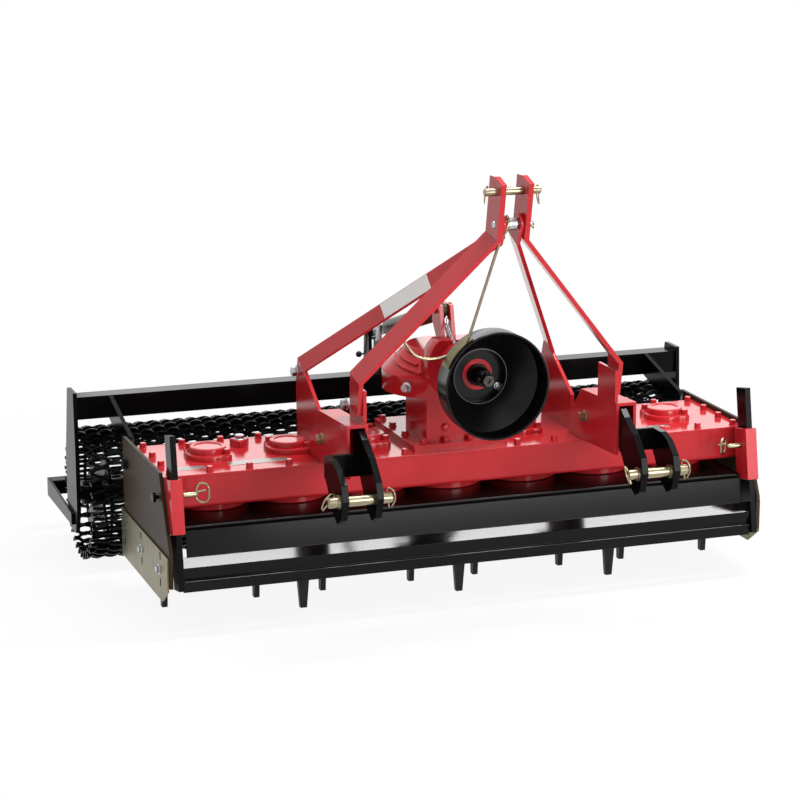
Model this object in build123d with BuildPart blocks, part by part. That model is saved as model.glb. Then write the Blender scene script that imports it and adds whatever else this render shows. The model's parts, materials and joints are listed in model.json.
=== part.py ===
"""Power harrow for a three-point hitch: seven upright rotors under a long gear trough, with a front levelling
bar, side plates, an upright mast and a cage roller behind that sets the working depth.
Millimetres. X runs across the machine, +Y to the rear, +Z up; the tine tips and the roller stand on Z = 0."""

from build123d import *
import math
import os

os.makedirs("parts", exist_ok=True)

# How far the machine reaches from the line of rotors: its box is centred on Y = 0
HITCH_REACH = 545.0  # to the front edge of the mast and of the lower hitch ears
ROLLER_Y = 515.0
ROLLER_R = 192.0
SCRAPER_REACH = 129.0  # behind the roller
REAR_REACH = ROLLER_Y + ROLLER_R + SCRAPER_REACH
ROTOR_Y = (HITCH_REACH - REAR_REACH) / 2

# Rotors
ROTOR_COUNT = 7
ROTOR_PITCH = 224.0
TINE_CIRCLE_R = 129.0
TINE_T = 15.0
TINE_TOP_W = 42.0
TINE_MID_W = 36.0
TINE_TIP_W = 18.0
TINE_MID_Z = 108.0
CARRIER_TOP_Z = 262.0
CARRIER_T = 26.0
CARRIER_W = 62.0
ROTOR_HUB_R = 52.0
ROTOR_HUB_DROP = 44.0
ROTOR_NUT_R = 24.0
ROTOR_SHAFT_R = 28.0
ROTOR_SHAFT_UP = 36.0
SHAFT_FIT = 0.1

# Gear trough, its cover and the bearings on it
TROUGH_W = 320.0
TROUGH_BOTTOM_Z = 314.0
TROUGH_TOP_Z = 400.0
COVER_T = 7.0
COVER_LIP = 6.0
CAP_R = 64.0
CAP_FLANGE_T = 11.0
CAP_TOP_R = 47.0
CAP_TOP_T = 11.0
CAP_LUG_R = 13.0
LOWER_BEARING_R = 76.0
LOWER_BEARING_Z = 270.0
GUARD_PLATE_Z = 279.0
GUARD_PLATE_T = 6.0
GUARD_PLATE_FRONT = 220.0
GUARD_PLATE_LIP = 20.0  # folded down along its front edge
GUARD_PLATE_REAR = 110.0
SEAT_GAP = 0.3

# Side plates and their bolted deflectors
SIDE_X = 848.6  # outer face
SIDE_T = 10.0
SIDE_TOP_Z = 420.0
SIDE_BOTTOM_Z = 130.0
SIDE_TOP_FRONT = 168.0
SIDE_LOW_FRONT = 262.0
SIDE_LOW_FRONT_Z = 226.0
SIDE_REAR = 245.0
DEFLECTOR_T = 5.0
DEFLECTOR_FRONT = 255.0
DEFLECTOR_REAR = 260.0
DEFLECTOR_TOP_Z = 214.0
DEFLECTOR_BOTTOM_Z = 78.0
DEFLECTOR_CHAMFER = 62.0

# Levelling bar, its posts and the guides they slide in
POST_LEAN = 10.0  # degrees, top to the rear
POST_W = 16.0
POST_D = 55.0
POST_TOP_Z = 524.0
POST_BOTTOM_Z = 125.0
POST_LINE_Y = 222.0  # in front of the rotor line, at POST_LINE_Z
POST_LINE_Z = 343.0
POST_CLEARANCE = 0.3
GUIDE_WALL = 8.0
GUIDE_TOP_Z = 413.0
GUIDE_BOTTOM_Z = 272.0
BAR_T = 6.0
BAR_TOP_Z = 276.0
BAR_TOP_FRONT = 232.0
BAR_WAIST_Z = 206.0
BAR_WAIST_FRONT = 243.0
BAR_NOSE_Z = 186.0
BAR_NOSE_FRONT = 271.0
BAR_EDGE_Z = 151.0
BAR_EDGE_FRONT = 264.0
BAR_STEP_Z = 149.0
BAR_STEP_FRONT = 273.0
BAR_LIP_Z = 121.0
BAR_LIP_FRONT = 268.0
BAR_TOP_HALF = 797.0  # its upper part passes between the guides

# Hitch: boxes, lower ears and pins, mast
PIN_SPAN = 825.0  # between the middles of the two lower ears
PIN_Z = 399.0
PIN_INSET = 30.0  # behind the ears' front edge
PIN_FRONT = HITCH_REACH - PIN_INSET
PIN_R = 14.0
PIN_LENGTH = 176.0
EAR_GAP = 74.4
EAR_T = 18.0
EAR_TOP_Z = 490.0
TALL_EAR_TOP_Z = 548.0
TALL_EAR_REACH = 45.0  # into the hitch box
WEB_T = 12.0
WEB_BOTTOM_Z = 430.0
BOX_INNER_X = 348.0
BOX_OUTER_X = 406.0
BOX_WALL = 9.0
BOX_FRONT = HITCH_REACH - 155.0
BOX_FRONT_BOTTOM_Z = 420.0
BOX_TOP_Z = 562.0
BOX_REAR_TOP = 150.0
BOX_REAR_TOP_Z = 549.0
BOX_REAR_LOW = 60.0
BOX_REAR_LOW_Z = 450.0
BOX_REAR_FOOT = 70.0
LUG_TOP_Z = 648.0
LUG_FRONT = BOX_FRONT - 12.0
LUG_W = 116.0
LUG_REAR = LUG_FRONT - LUG_W
FORK_GAP = 60.0
FORK_T = 14.0
FORK_TOP_Z = 1203.0
FORK_D = 84.0
FORK_TOP_FRONT = HITCH_REACH - 6.0
FORK_LEAN = 29.0  # its top stands so far in front of its bend
FORK_BEND_FRONT = FORK_TOP_FRONT - FORK_LEAN - FORK_D / 2  # middle of the bend
FORK_BEND_Z = FORK_TOP_Z - 155.0
FORK_CHAMFER = 48.0
FORK_CHAMFER_H = 15.0
STRUT_T = 12.0
STRUT_W = 78.0
STRUT_TILT = 11.5  # degrees, how its bends rise to the rear
STRUT_BEND_Z = 675.0
STRUT_FOOT_Z = 579.0
STRUT_FOOT_TAPER = 8.0
STRUT_X_STRETCH = 0.78  # a leaning bar's thickness over its width across the machine
TOP_PIN_Z = FORK_TOP_Z - 37.0
TOP_PIN_FRONT = HITCH_REACH - 45.0
TOP_PIN_R = 10.0
TOP_PIN_LENGTH = 153.0
SECOND_PIN_Z = TOP_PIN_Z - 86.0
SECOND_PIN_FRONT = TOP_PIN_FRONT - 14.0
SECOND_PIN_LENGTH = 122.0
SPACER_R = 19.0
BRACE_T = 10.0
BRACE_W = 66.0
BRACE_TILT = 23.0  # degrees, how its bends rise to the rear
BRACE_X_STRETCH = 0.875
BRACE_EYE_R = 26.0
BRACE_BEND_Z = SECOND_PIN_Z - 41.0
BRACE_BEND_FRONT = SECOND_PIN_FRONT - 31.0
BRACE_X = 366.0
BRACE_FOOT_TOP_Z = 611.0
BRACE_FOOT_REAR = 125.0  # behind the rotor line, middle of the lower bend
BRACE_FOOT_FRONT = 50.0  # in front of the rotor line, where the foot begins
BRACE_FOOT_REACH = 47.0  # from the bend back to the foot's upright rear edge
BRACE_FOOT_STEP_Z = 508.0

# Gearbox, input shaft and its guard
PTO_Z = 640.0
GEARBOX_BASE_W = 274.0
GEARBOX_BASE_FRONT = 142.0
GEARBOX_BASE_REAR = 190.0
GEARBOX_BASE_T = 18.0
CASE_W = 176.0
CASE_FRONT = 110.0
CASE_REAR = 60.0
PAN_R = 163.0
PAN_REAR = 20.0  # its middle, behind the rotor line
PAN_BOTTOM_Z = 546.0
PAN_TOP_Z = 598.0
CROWN_R = 94.0
CROWN_TOP_Z = 668.0
FLANGE_R = 98.0
FLANGE_FRONT = 150.0
FLANGE_REAR = 92.0
FLANGE_FLAT_Z = 712.0
SNOUT_R = 68.0
COLLAR_R = 42.0
COLLAR_LENGTH = 22.0
SNOUT_FRONT = 262.0
INPUT_R = 17.4
INPUT_LENGTH = 86.0
INPUT_FRONT = SNOUT_FRONT + INPUT_LENGTH
INPUT_BORE_R = 24.0
INPUT_BORE_DEPTH = 60.0
SHIELD_R = 143.0
SHIELD_WALL = 5.0
SHIELD_FRONT = INPUT_FRONT + 67.0
SHIELD_REAR = SNOUT_FRONT - 8.0
SHIELD_RIM = 70.0  # length of its round wall, in front of the cone
SHIELD_CONE = 67.0
SHIELD_NECK_R = 78.0
JACK_RIB_T = 12.0
JACK_X = -35.0
JACK_FRONT_Y = 88.0  # front pivot, in front of the rotor line
JACK_FRONT_Z = 782.0

# Roller frame, swinging on two pins in the side plates, and the cage roller
FRAME_PIVOT_REAR = 205.0
FRAME_PIVOT_Z = 350.0
FRAME_PIVOT_R = 14.0
BEAM_X = 925.0
BEAM_D = 59.0
BEAM_H = 65.0
BEAM_FRONT = ROLLER_Y - 41.0
BEAM_REAR = BEAM_FRONT + BEAM_D
BEAM_ROLLER_GAP = 33.0  # between the roller and the beam over it
BEAM_TOP_Z = 2 * ROLLER_R + BEAM_ROLLER_GAP + BEAM_H
BEAM_BOTTOM_Z = BEAM_TOP_Z - BEAM_H
ARM_T = 12.0
ARM_GAP = 5.0  # between an arm and the side plate beside it
ARM_EYE_R = 34.0
END_T = 12.0
END_RISE = 14.0  # above the beam, and behind it
END_FRONT_W = 60.0  # in front of the roller's shaft
END_REAR_W = 71.0
END_WAIST = 32.0  # below the shaft, where the foot narrows
END_FOOT = 108.0
END_FOOT_TAPER = 25.0
END_SHOULDER_Z = 300.0
ROLLER_END_GAP = 17.0
ROLLER_HALF = BEAM_X - ROLLER_END_GAP
ROLLER_SHAFT_R = 20.0
ROLLER_TUBE_R = 34.0
ROLLER_BARS = 26
ROLLER_BAR_DEPTH = 18.0
ROLLER_BAR_T = 9.0
ROLLER_WAVE = 11.0
ROLLER_WAVE_LENGTH = 130.0
ROLLER_DISC_T = 8.0
ROLLER_DISCS = 5
ROLLER_CROSS_HUB_R = 62.0
ROLLER_CROSS_W = 60.0
ROLLER_HOOP_W = 10.0
SCRAPER_ARM_T = 8.0
SCRAPER_ARM_LOW_Z = 104.0
SCRAPER_ARM_TOP_Z = 158.0
SCRAPER_BAR_W = 45.0
SCRAPER_BAR_T = 5.0
SCRAPER_ARM_FRONT = ROLLER_Y - 15.0
SCRAPER_ARM_RISE = 20.0
JACK_LUG_RISE = 118.0  # of the jack's rear pin above the beam
JACK_LUG_Z = BEAM_TOP_Z + JACK_LUG_RISE
JACK_TUBE_R = 24.0
JACK_SCREW_R = 14.0
JACK_EYE_R = 20.0
JACK_EYE_T = 18.0
JACK_NECK = 24.0
JACK_PIN_R = 8.0
JACK_EYE_PLAY = 2.7  # the screw's eye sits loosely on the roller frame's pin

rotor_x = [ROTOR_PITCH * (n - (ROTOR_COUNT - 1) / 2) for n in range(ROTOR_COUNT)]
inner_x = SIDE_X - SIDE_T  # inner faces of the side plates
cover_top_z = TROUGH_TOP_Z + COVER_T


def rear(distance):
    """Y of a place so far behind the line of rotors; a negative distance is in front."""
    return ROTOR_Y + distance


def front(distance):
    return ROTOR_Y - distance


def side_plane(x):
    """Plane for a profile seen from the machine's right: its X is the machine's Y, its Y the machine's Z."""
    return Plane.YZ.offset(x)


def plate(low_x, high_x, points):
    """Adds a flat plate with this (y, z) outline between two places across the machine."""
    with BuildSketch(side_plane(low_x)) as outline:
        with BuildLine():
            Polyline(*points, close=True)
        make_face()
    extrude(outline.sketch, amount=high_x - low_x)


def round_bar(low_x, high_x, y, z, radius, mode=Mode.ADD):
    """Adds, or cuts, a round bar lying across the machine."""
    with BuildSketch(side_plane(low_x)) as section:
        with Locations((y, z)):
            Circle(radius)
    extrude(section.sketch, amount=high_x - low_x, mode=mode)


def save(piece, name):
    piece.part.label = name
    export_step(piece.part, f"parts/{name}.step")


# Gear trough: a long closed box of folded sheet that holds the rotors' spur gears
with BuildPart() as trough:
    with BuildSketch(Plane.XY.offset(TROUGH_BOTTOM_Z)):
        with Locations((0, ROTOR_Y)):
            Rectangle(2 * inner_x, TROUGH_W)
    extrude(amount=TROUGH_TOP_Z - TROUGH_BOTTOM_Z)
    fillet(trough.edges().filter_by(Axis.X).group_by(Axis.Z)[0], 10)
save(trough, "trough")

with BuildPart() as cover:
    with BuildSketch(Plane.XY.offset(TROUGH_TOP_Z)):
        with Locations((0, ROTOR_Y)):
            Rectangle(2 * inner_x, TROUGH_W + 2 * COVER_LIP)
    extrude(amount=COVER_T)
save(cover, "trough_cover")

# Bearing caps: a lugged flange with a raised round top over every rotor but the middle one
cap_x = [x for x in rotor_x if abs(x) > GEARBOX_BASE_W / 2]
with BuildPart() as caps:
    with BuildSketch(Plane.XY.offset(cover_top_z)):
        with Locations(*[(x, ROTOR_Y) for x in cap_x]):
            Circle(CAP_R)
            with PolarLocations(CAP_R - CAP_LUG_R / 2, 4, start_angle=45):
                Circle(CAP_LUG_R)
    extrude(amount=CAP_FLANGE_T)
    with BuildSketch(Plane.XY.offset(cover_top_z + CAP_FLANGE_T)):
        with Locations(*[(x, ROTOR_Y) for x in cap_x]):
            Circle(CAP_TOP_R)
    extrude(amount=CAP_TOP_T)
save(caps, "bearing_caps")

# Lower bearing housings: round castings under the trough, each bored for its rotor's shaft
with BuildPart() as lower_bearings:
    with BuildSketch(Plane.XY.offset(LOWER_BEARING_Z)):
        with Locations(*[(x, ROTOR_Y) for x in rotor_x]):
            Circle(LOWER_BEARING_R)
    extrude(amount=TROUGH_BOTTOM_Z - LOWER_BEARING_Z)
    with BuildSketch(Plane.XY.offset(LOWER_BEARING_Z)):
        with Locations(*[(x, ROTOR_Y) for x in rotor_x]):
            Circle(ROTOR_SHAFT_R + SHAFT_FIT)
    extrude(amount=CARRIER_TOP_Z + ROTOR_SHAFT_UP + 1 - LOWER_BEARING_Z, mode=Mode.SUBTRACT)
save(lower_bearings, "lower_bearings")

# Stone guard: a flat plate round the lower bearings that keeps stones off the trough
guide_inner_x = inner_x - POST_W - 2 * GUIDE_WALL - 2 * POST_CLEARANCE
with BuildPart() as stone_guard:
    with BuildSketch(Plane.XY.offset(GUARD_PLATE_Z)):
        with Locations((0, (front(GUARD_PLATE_FRONT) + rear(GUARD_PLATE_REAR)) / 2)):
            Rectangle(2 * guide_inner_x - 4, GUARD_PLATE_FRONT + GUARD_PLATE_REAR)
        with Locations(*[(x, ROTOR_Y) for x in rotor_x]):
            Circle(LOWER_BEARING_R + SEAT_GAP, mode=Mode.SUBTRACT)
    extrude(amount=GUARD_PLATE_T)
    plate(
        -guide_inner_x + 2,
        guide_inner_x - 2,
        [
            (front(GUARD_PLATE_FRONT), GUARD_PLATE_Z + 1),
            (front(GUARD_PLATE_FRONT - GUARD_PLATE_T), GUARD_PLATE_Z + 1),
            (front(GUARD_PLATE_FRONT - GUARD_PLATE_T), GUARD_PLATE_Z - GUARD_PLATE_LIP),
            (front(GUARD_PLATE_FRONT), GUARD_PLATE_Z - GUARD_PLATE_LIP),
        ],
    )
save(stone_guard, "stone_guard")

# Rotors: a two-armed carrier on its shaft with two tapered tines; neighbours stand a quarter turn apart
for number, x in enumerate(rotor_x, start=1):
    turn = 0 if number % 2 else 90
    base = Plane(origin=(x, ROTOR_Y, 0), x_dir=Vector(1, 0, 0).rotate(Axis.Z, turn), z_dir=(0, 0, 1))
    with BuildPart() as rotor:
        with BuildSketch(base.offset(CARRIER_TOP_Z - CARRIER_T)):
            SlotCenterToCenter(2 * TINE_CIRCLE_R - CARRIER_W / 2, CARRIER_W)
            Circle(ROTOR_HUB_R)
        extrude(amount=CARRIER_T)
        with BuildSketch(base.offset(CARRIER_TOP_Z)):
            Circle(ROTOR_SHAFT_R)
        extrude(amount=ROTOR_SHAFT_UP)
        with BuildSketch(base.offset(CARRIER_TOP_Z - CARRIER_T)):
            Circle(ROTOR_NUT_R)
        extrude(amount=CARRIER_T - ROTOR_HUB_DROP)
        for way in (-1, 1):
            outward = base.x_dir * way
            middle = base.origin + outward * (TINE_CIRCLE_R - TINE_T / 2)
            with BuildSketch(Plane(origin=middle, x_dir=outward.rotate(Axis.Z, 90), z_dir=outward)):
                with BuildLine():
                    Polyline(
                        (-TINE_TOP_W / 2, CARRIER_TOP_Z - CARRIER_T / 2),
                        (TINE_TOP_W / 2, CARRIER_TOP_Z - CARRIER_T / 2),
                        (TINE_MID_W / 2, TINE_MID_Z),
                        (TINE_TIP_W / 2, 0),
                        (-TINE_TIP_W / 2, 0),
                        (-TINE_MID_W / 2, TINE_MID_Z),
                        close=True,
                    )
                make_face()
            extrude(amount=TINE_T)
    save(rotor, f"rotor_{number}")

# Side plates: flat plates that close the ends and keep the soil between them, with bolted deflectors
for side, way in (("left", -1), ("right", 1)):
    low_x, high_x = sorted((way * inner_x, way * SIDE_X))
    with BuildPart() as side_plate:
        plate(
            low_x,
            high_x,
            [
                (front(SIDE_TOP_FRONT), SIDE_TOP_Z),
                (rear(SIDE_REAR), SIDE_TOP_Z),
                (rear(SIDE_REAR), SIDE_BOTTOM_Z),
                (front(SIDE_LOW_FRONT), SIDE_BOTTOM_Z),
                (front(SIDE_LOW_FRONT), SIDE_LOW_FRONT_Z),
            ],
        )
        round_bar(low_x, high_x, rear(FRAME_PIVOT_REAR), FRAME_PIVOT_Z, FRAME_PIVOT_R + SHAFT_FIT, Mode.SUBTRACT)
    save(side_plate, f"side_plate_{side}")

    low_x, high_x = sorted((way * SIDE_X, way * (SIDE_X + DEFLECTOR_T)))
    with BuildPart() as deflector:
        plate(
            low_x,
            high_x,
            [
                (front(DEFLECTOR_FRONT), DEFLECTOR_TOP_Z),
                (rear(DEFLECTOR_REAR), DEFLECTOR_TOP_Z),
                (rear(DEFLECTOR_REAR), DEFLECTOR_BOTTOM_Z),
                (front(DEFLECTOR_FRONT - DEFLECTOR_CHAMFER), DEFLECTOR_BOTTOM_Z),
                (front(DEFLECTOR_FRONT), DEFLECTOR_BOTTOM_Z + DEFLECTOR_CHAMFER * 0.7),
            ],
        )
    save(deflector, f"deflector_{side}")

# Guides: rectangular tubes welded inside the front edges of the side plates; the bar's posts slide in them
slide_dir = Vector(0, math.sin(math.radians(POST_LEAN)), math.cos(math.radians(POST_LEAN)))
post_x = inner_x - GUIDE_WALL - POST_CLEARANCE - POST_W / 2


def post_plane(way, z):
    """Plane across a post at this height, its X along the machine's X."""
    along = (z - POST_LINE_Z) / slide_dir.Z
    origin = Vector(way * post_x, front(POST_LINE_Y), POST_LINE_Z) + slide_dir * along
    return Plane(origin=origin, x_dir=(1, 0, 0), z_dir=slide_dir)


guide_length = (GUIDE_TOP_Z - GUIDE_BOTTOM_Z) / slide_dir.Z
post_length = (POST_TOP_Z - POST_BOTTOM_Z) / slide_dir.Z
for side, way in (("left", -1), ("right", 1)):
    with BuildPart() as guide:
        with BuildSketch(post_plane(way, GUIDE_BOTTOM_Z)):
            inside_w = POST_W + 2 * POST_CLEARANCE
            inside_d = POST_D + 2 * POST_CLEARANCE
            Rectangle(inside_w + 2 * GUIDE_WALL, inside_d + 2 * GUIDE_WALL)
            Rectangle(inside_w, inside_d, mode=Mode.SUBTRACT)
        extrude(amount=guide_length)
    save(guide, f"post_guide_{side}")

# Levelling bar: one folded sheet with a forward nose and a lip, between two flat posts
bar_half = post_x - POST_W / 2
bar_front = [
    (BAR_TOP_FRONT, BAR_TOP_Z),
    (BAR_WAIST_FRONT, BAR_WAIST_Z),
    (BAR_NOSE_FRONT, BAR_NOSE_Z),
    (BAR_EDGE_FRONT, BAR_EDGE_Z),
    (BAR_STEP_FRONT, BAR_STEP_Z),
    (BAR_LIP_FRONT, BAR_LIP_Z),
]
with BuildPart() as bar:
    for half, points in ((BAR_TOP_HALF, bar_front[:2]), (bar_half, bar_front[1:])):
        with BuildSketch(side_plane(-half)):
            with BuildLine():
                Polyline(*[(front(y), z) for y, z in points])
            trace(line_width=BAR_T)
        extrude(amount=2 * half)
save(bar, "levelling_bar")

with BuildPart() as posts:
    for way in (-1, 1):
        with BuildSketch(post_plane(way, POST_BOTTOM_Z)):
            Rectangle(POST_W, POST_D)
        extrude(amount=post_length)
save(posts, "levelling_posts")

# Hitch boxes: inverted channels that stand on the trough and reach forward; each inner wall rises to a lug
box_side = [
    (front(BOX_FRONT), BOX_TOP_Z),
    (front(BOX_REAR_TOP), BOX_REAR_TOP_Z),
    (front(BOX_REAR_LOW), BOX_REAR_LOW_Z),
    (front(BOX_REAR_FOOT), cover_top_z),
    (front(TROUGH_W / 2 + COVER_LIP), cover_top_z),
    (front(BOX_FRONT), BOX_FRONT_BOTTOM_Z),
]
for side, way in (("left", -1), ("right", 1)):
    low_x, high_x = sorted((way * BOX_INNER_X, way * BOX_OUTER_X))
    with BuildPart() as hitch_box:
        plate(low_x, high_x, box_side)
        with BuildSketch(side_plane(low_x + BOX_WALL)):
            with BuildLine():
                Polyline(
                    (front(BOX_FRONT + 1), BOX_TOP_Z - BOX_WALL),
                    (front(BOX_REAR_TOP + BOX_WALL), BOX_REAR_TOP_Z - BOX_WALL),
                    (front(BOX_REAR_LOW + BOX_WALL), BOX_REAR_LOW_Z),
                    (front(BOX_REAR_FOOT + BOX_WALL), cover_top_z - 1),
                    (front(BOX_FRONT + 1), BOX_FRONT_BOTTOM_Z - 20),
                    close=True,
                )
            make_face()
        extrude(amount=high_x - low_x - 2 * BOX_WALL, mode=Mode.SUBTRACT)
        lug_low, lug_high = sorted((way * BOX_INNER_X, way * (BOX_INNER_X + BOX_WALL)))
        plate(
            lug_low,
            lug_high,
            [
                (front(LUG_FRONT), BOX_TOP_Z - BOX_WALL),
                (front(LUG_FRONT), LUG_TOP_Z),
                (front(LUG_REAR), LUG_TOP_Z),
                (front(LUG_REAR), BOX_REAR_TOP_Z - BOX_WALL / 2),
            ],
        )
    save(hitch_box, f"hitch_box_{side}")

# Lower hitch ears: a tall plate reaching up inside the box, and a short one folded round from a web
pin_mid = PIN_SPAN / 2
# Outlines as steps back from the front edge and up from the pin
ear_back = HITCH_REACH - BOX_FRONT
ear_rear = [(113, -9), (90, -41), (48, -64), (20, -49)]
tall_crown = [
    (14, 46),
    (69, 98),
    (125, 131),
    (ear_back - 5, TALL_EAR_TOP_Z - PIN_Z),
    (ear_back + TALL_EAR_REACH, TALL_EAR_TOP_Z - PIN_Z),
]
short_crown = [(14, 46), (55, 79), (95, EAR_TOP_Z - PIN_Z), (ear_back, EAR_TOP_Z - PIN_Z)]
for side, way in (("left", -1), ("right", 1)):
    inner_low, inner_high = sorted((way * (pin_mid - EAR_GAP / 2 - EAR_T), way * (pin_mid - EAR_GAP / 2)))
    outer_low, outer_high = sorted((way * (pin_mid + EAR_GAP / 2), way * (pin_mid + EAR_GAP / 2 + EAR_T)))
    web_low, web_high = min(inner_low, outer_low), max(inner_high, outer_high)
    web_rear = BOX_FRONT + WEB_T
    with BuildPart() as ears:
        for low_x, high_x, crown, reach in (
            (inner_low, inner_high, tall_crown, TALL_EAR_REACH),
            (outer_low, outer_high, short_crown, 0),
        ):
            plate(
                low_x,
                high_x,
                [
                    (front(HITCH_REACH), PIN_Z + 6),
                    *[(front(HITCH_REACH - back), PIN_Z + up) for back, up in crown],
                    (front(BOX_FRONT - reach), WEB_BOTTOM_Z + 11),
                    (front(BOX_FRONT + 4), WEB_BOTTOM_Z + 8),
                    *[(front(HITCH_REACH - back), PIN_Z + up) for back, up in ear_rear],
                ],
            )
        plate(
            web_low,
            web_high,
            [
                (front(web_rear), EAR_TOP_Z),
                (front(web_rear - WEB_T), EAR_TOP_Z),
                (front(web_rear - WEB_T), WEB_BOTTOM_Z),
                (front(web_rear), WEB_BOTTOM_Z),
            ],
        )
        round_bar(web_low - 1, web_high + 1, front(PIN_FRONT), PIN_Z, PIN_R + SEAT_GAP, Mode.SUBTRACT)
    save(ears, f"hitch_ears_{side}")

    with BuildPart() as pin:
        middle = way * pin_mid
        round_bar(middle - PIN_LENGTH / 2, middle + PIN_LENGTH / 2, front(PIN_FRONT), PIN_Z, PIN_R)
        chamfer(pin.edges().filter_by(GeomType.CIRCLE), PIN_R / 3)
    save(pin, f"hitch_pin_{side}")


def leaning_leg(top, bottom, width, depth, tilt):
    """Adds a flat bar between two bends, given as (x, y, z) of their middles; both rise to the rear by tilt."""
    lean = math.radians(tilt)
    sections = []
    for middle in (top, bottom):
        bend = Plane(origin=middle, x_dir=(1, 0, 0), z_dir=(0, -math.sin(lean), math.cos(lean)))
        with BuildSketch(bend) as section:
            Rectangle(width, depth)
        sections.append(section.sketch)
    loft(sections, ruled=True)


def bend_ends(distance, z, length, tilt):
    """The front and rear (y, z) ends of a bend whose middle lies so far in front of the rotor line."""
    along = length / 2 * math.cos(math.radians(tilt))
    rise = length / 2 * math.sin(math.radians(tilt))
    return (front(distance + along), z - rise), (front(distance - along), z + rise)


# Mast: two forward-leaning fork plates that bend outwards into flat struts down to the hitch boxes' lugs
fork_x = FORK_GAP / 2 + FORK_T / 2
strut_x = BOX_INNER_X + BOX_WALL + STRUT_T / 2
strut_foot_front = (LUG_FRONT + LUG_REAR) / 2 + 22
for side, way in (("left", -1), ("right", 1)):
    with BuildPart() as mast:
        low_x, high_x = sorted((way * (fork_x - FORK_T / 2), way * (fork_x + FORK_T / 2)))
        bend_front, bend_rear = bend_ends(FORK_BEND_FRONT, FORK_BEND_Z, FORK_D, STRUT_TILT)
        plate(
            low_x,
            high_x,
            [
                bend_front,
                (front(FORK_TOP_FRONT), FORK_TOP_Z - FORK_CHAMFER_H),
                (front(FORK_TOP_FRONT - FORK_CHAMFER), FORK_TOP_Z),
                (front(FORK_TOP_FRONT - FORK_D), FORK_TOP_Z - 1),
                bend_rear,
            ],
        )
        leaning_leg(
            (way * fork_x, front(FORK_BEND_FRONT), FORK_BEND_Z),
            (way * strut_x, front(strut_foot_front), STRUT_BEND_Z),
            STRUT_T / STRUT_X_STRETCH,
            STRUT_W,
            STRUT_TILT,
        )
        low_x, high_x = sorted((way * (strut_x - STRUT_T / 2), way * (strut_x + STRUT_T / 2)))
        foot_front, foot_rear = bend_ends(strut_foot_front, STRUT_BEND_Z, STRUT_W, STRUT_TILT)
        plate(
            low_x,
            high_x,
            [
                foot_front,
                foot_rear,
                (foot_rear[0] - STRUT_FOOT_TAPER, STRUT_FOOT_Z),
                (foot_front[0] + 2 * STRUT_FOOT_TAPER, STRUT_FOOT_Z),
            ],
        )
        for pin_front, pin_z in ((TOP_PIN_FRONT, TOP_PIN_Z), (SECOND_PIN_FRONT, SECOND_PIN_Z)):
            reach = fork_x + FORK_T
            round_bar(-reach, reach, front(pin_front), pin_z, TOP_PIN_R + SEAT_GAP, Mode.SUBTRACT)
    save(mast, f"mast_{side}")

# Rear braces: flat bars from the second pin back and down to wide feet on the trough behind the boxes
brace_top_x = FORK_GAP / 2 - BRACE_T * 0.6
for side, way in (("left", -1), ("right", 1)):
    with BuildPart() as brace:
        low_x, high_x = sorted((way * (brace_top_x - BRACE_T / 2), way * (brace_top_x + BRACE_T / 2)))
        round_bar(low_x, high_x, front(SECOND_PIN_FRONT), SECOND_PIN_Z, BRACE_EYE_R)
        bend_front, bend_rear = bend_ends(BRACE_BEND_FRONT, BRACE_BEND_Z, BRACE_W, BRACE_TILT)
        plate(
            low_x,
            high_x,
            [
                bend_front,
                (front(SECOND_PIN_FRONT + BRACE_EYE_R * 0.8), SECOND_PIN_Z - BRACE_EYE_R * 0.6),
                (front(SECOND_PIN_FRONT - BRACE_EYE_R * 0.6), SECOND_PIN_Z + BRACE_EYE_R * 0.8),
                bend_rear,
            ],
        )
        leaning_leg(
            (way * brace_top_x, front(BRACE_BEND_FRONT), BRACE_BEND_Z),
            (way * BRACE_X, rear(BRACE_FOOT_REAR), BRACE_FOOT_TOP_Z),
            BRACE_T / BRACE_X_STRETCH,
            BRACE_W,
            BRACE_TILT,
        )
        low_x, high_x = sorted((way * (BRACE_X - BRACE_T / 2), way * (BRACE_X + BRACE_T / 2)))
        foot_front, foot_rear = bend_ends(-BRACE_FOOT_REAR, BRACE_FOOT_TOP_Z, BRACE_W, BRACE_TILT)
        plate(
            low_x,
            high_x,
            [
                foot_front,
                foot_rear,
                (rear(BRACE_FOOT_REAR + BRACE_FOOT_REACH), BRACE_FOOT_TOP_Z - BRACE_W / 2),
                (rear(BRACE_FOOT_REAR + BRACE_FOOT_REACH), BRACE_FOOT_STEP_Z),
                (rear(TROUGH_W / 2 + COVER_LIP), cover_top_z),
                (front(BRACE_FOOT_FRONT), cover_top_z),
                (front(BRACE_FOOT_FRONT), BRACE_FOOT_STEP_Z),
            ],
        )
        round_bar(
            -FORK_GAP, FORK_GAP, front(SECOND_PIN_FRONT), SECOND_PIN_Z, TOP_PIN_R + SEAT_GAP, Mode.SUBTRACT
        )
    save(brace, f"rear_brace_{side}")

with BuildPart() as top_pin:
    round_bar(-TOP_PIN_LENGTH / 2, TOP_PIN_LENGTH / 2, front(TOP_PIN_FRONT), TOP_PIN_Z, TOP_PIN_R)
    chamfer(top_pin.edges().filter_by(GeomType.CIRCLE), TOP_PIN_R / 4)
save(top_pin, "top_pin")

with BuildPart() as second_pin:
    round_bar(-SECOND_PIN_LENGTH / 2, SECOND_PIN_LENGTH / 2, front(SECOND_PIN_FRONT), SECOND_PIN_Z, TOP_PIN_R)
    spacer_half = brace_top_x - BRACE_T / 2 - SEAT_GAP
    round_bar(-spacer_half, spacer_half, front(SECOND_PIN_FRONT), SECOND_PIN_Z, SPACER_R)
save(second_pin, "second_pin")

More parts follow.
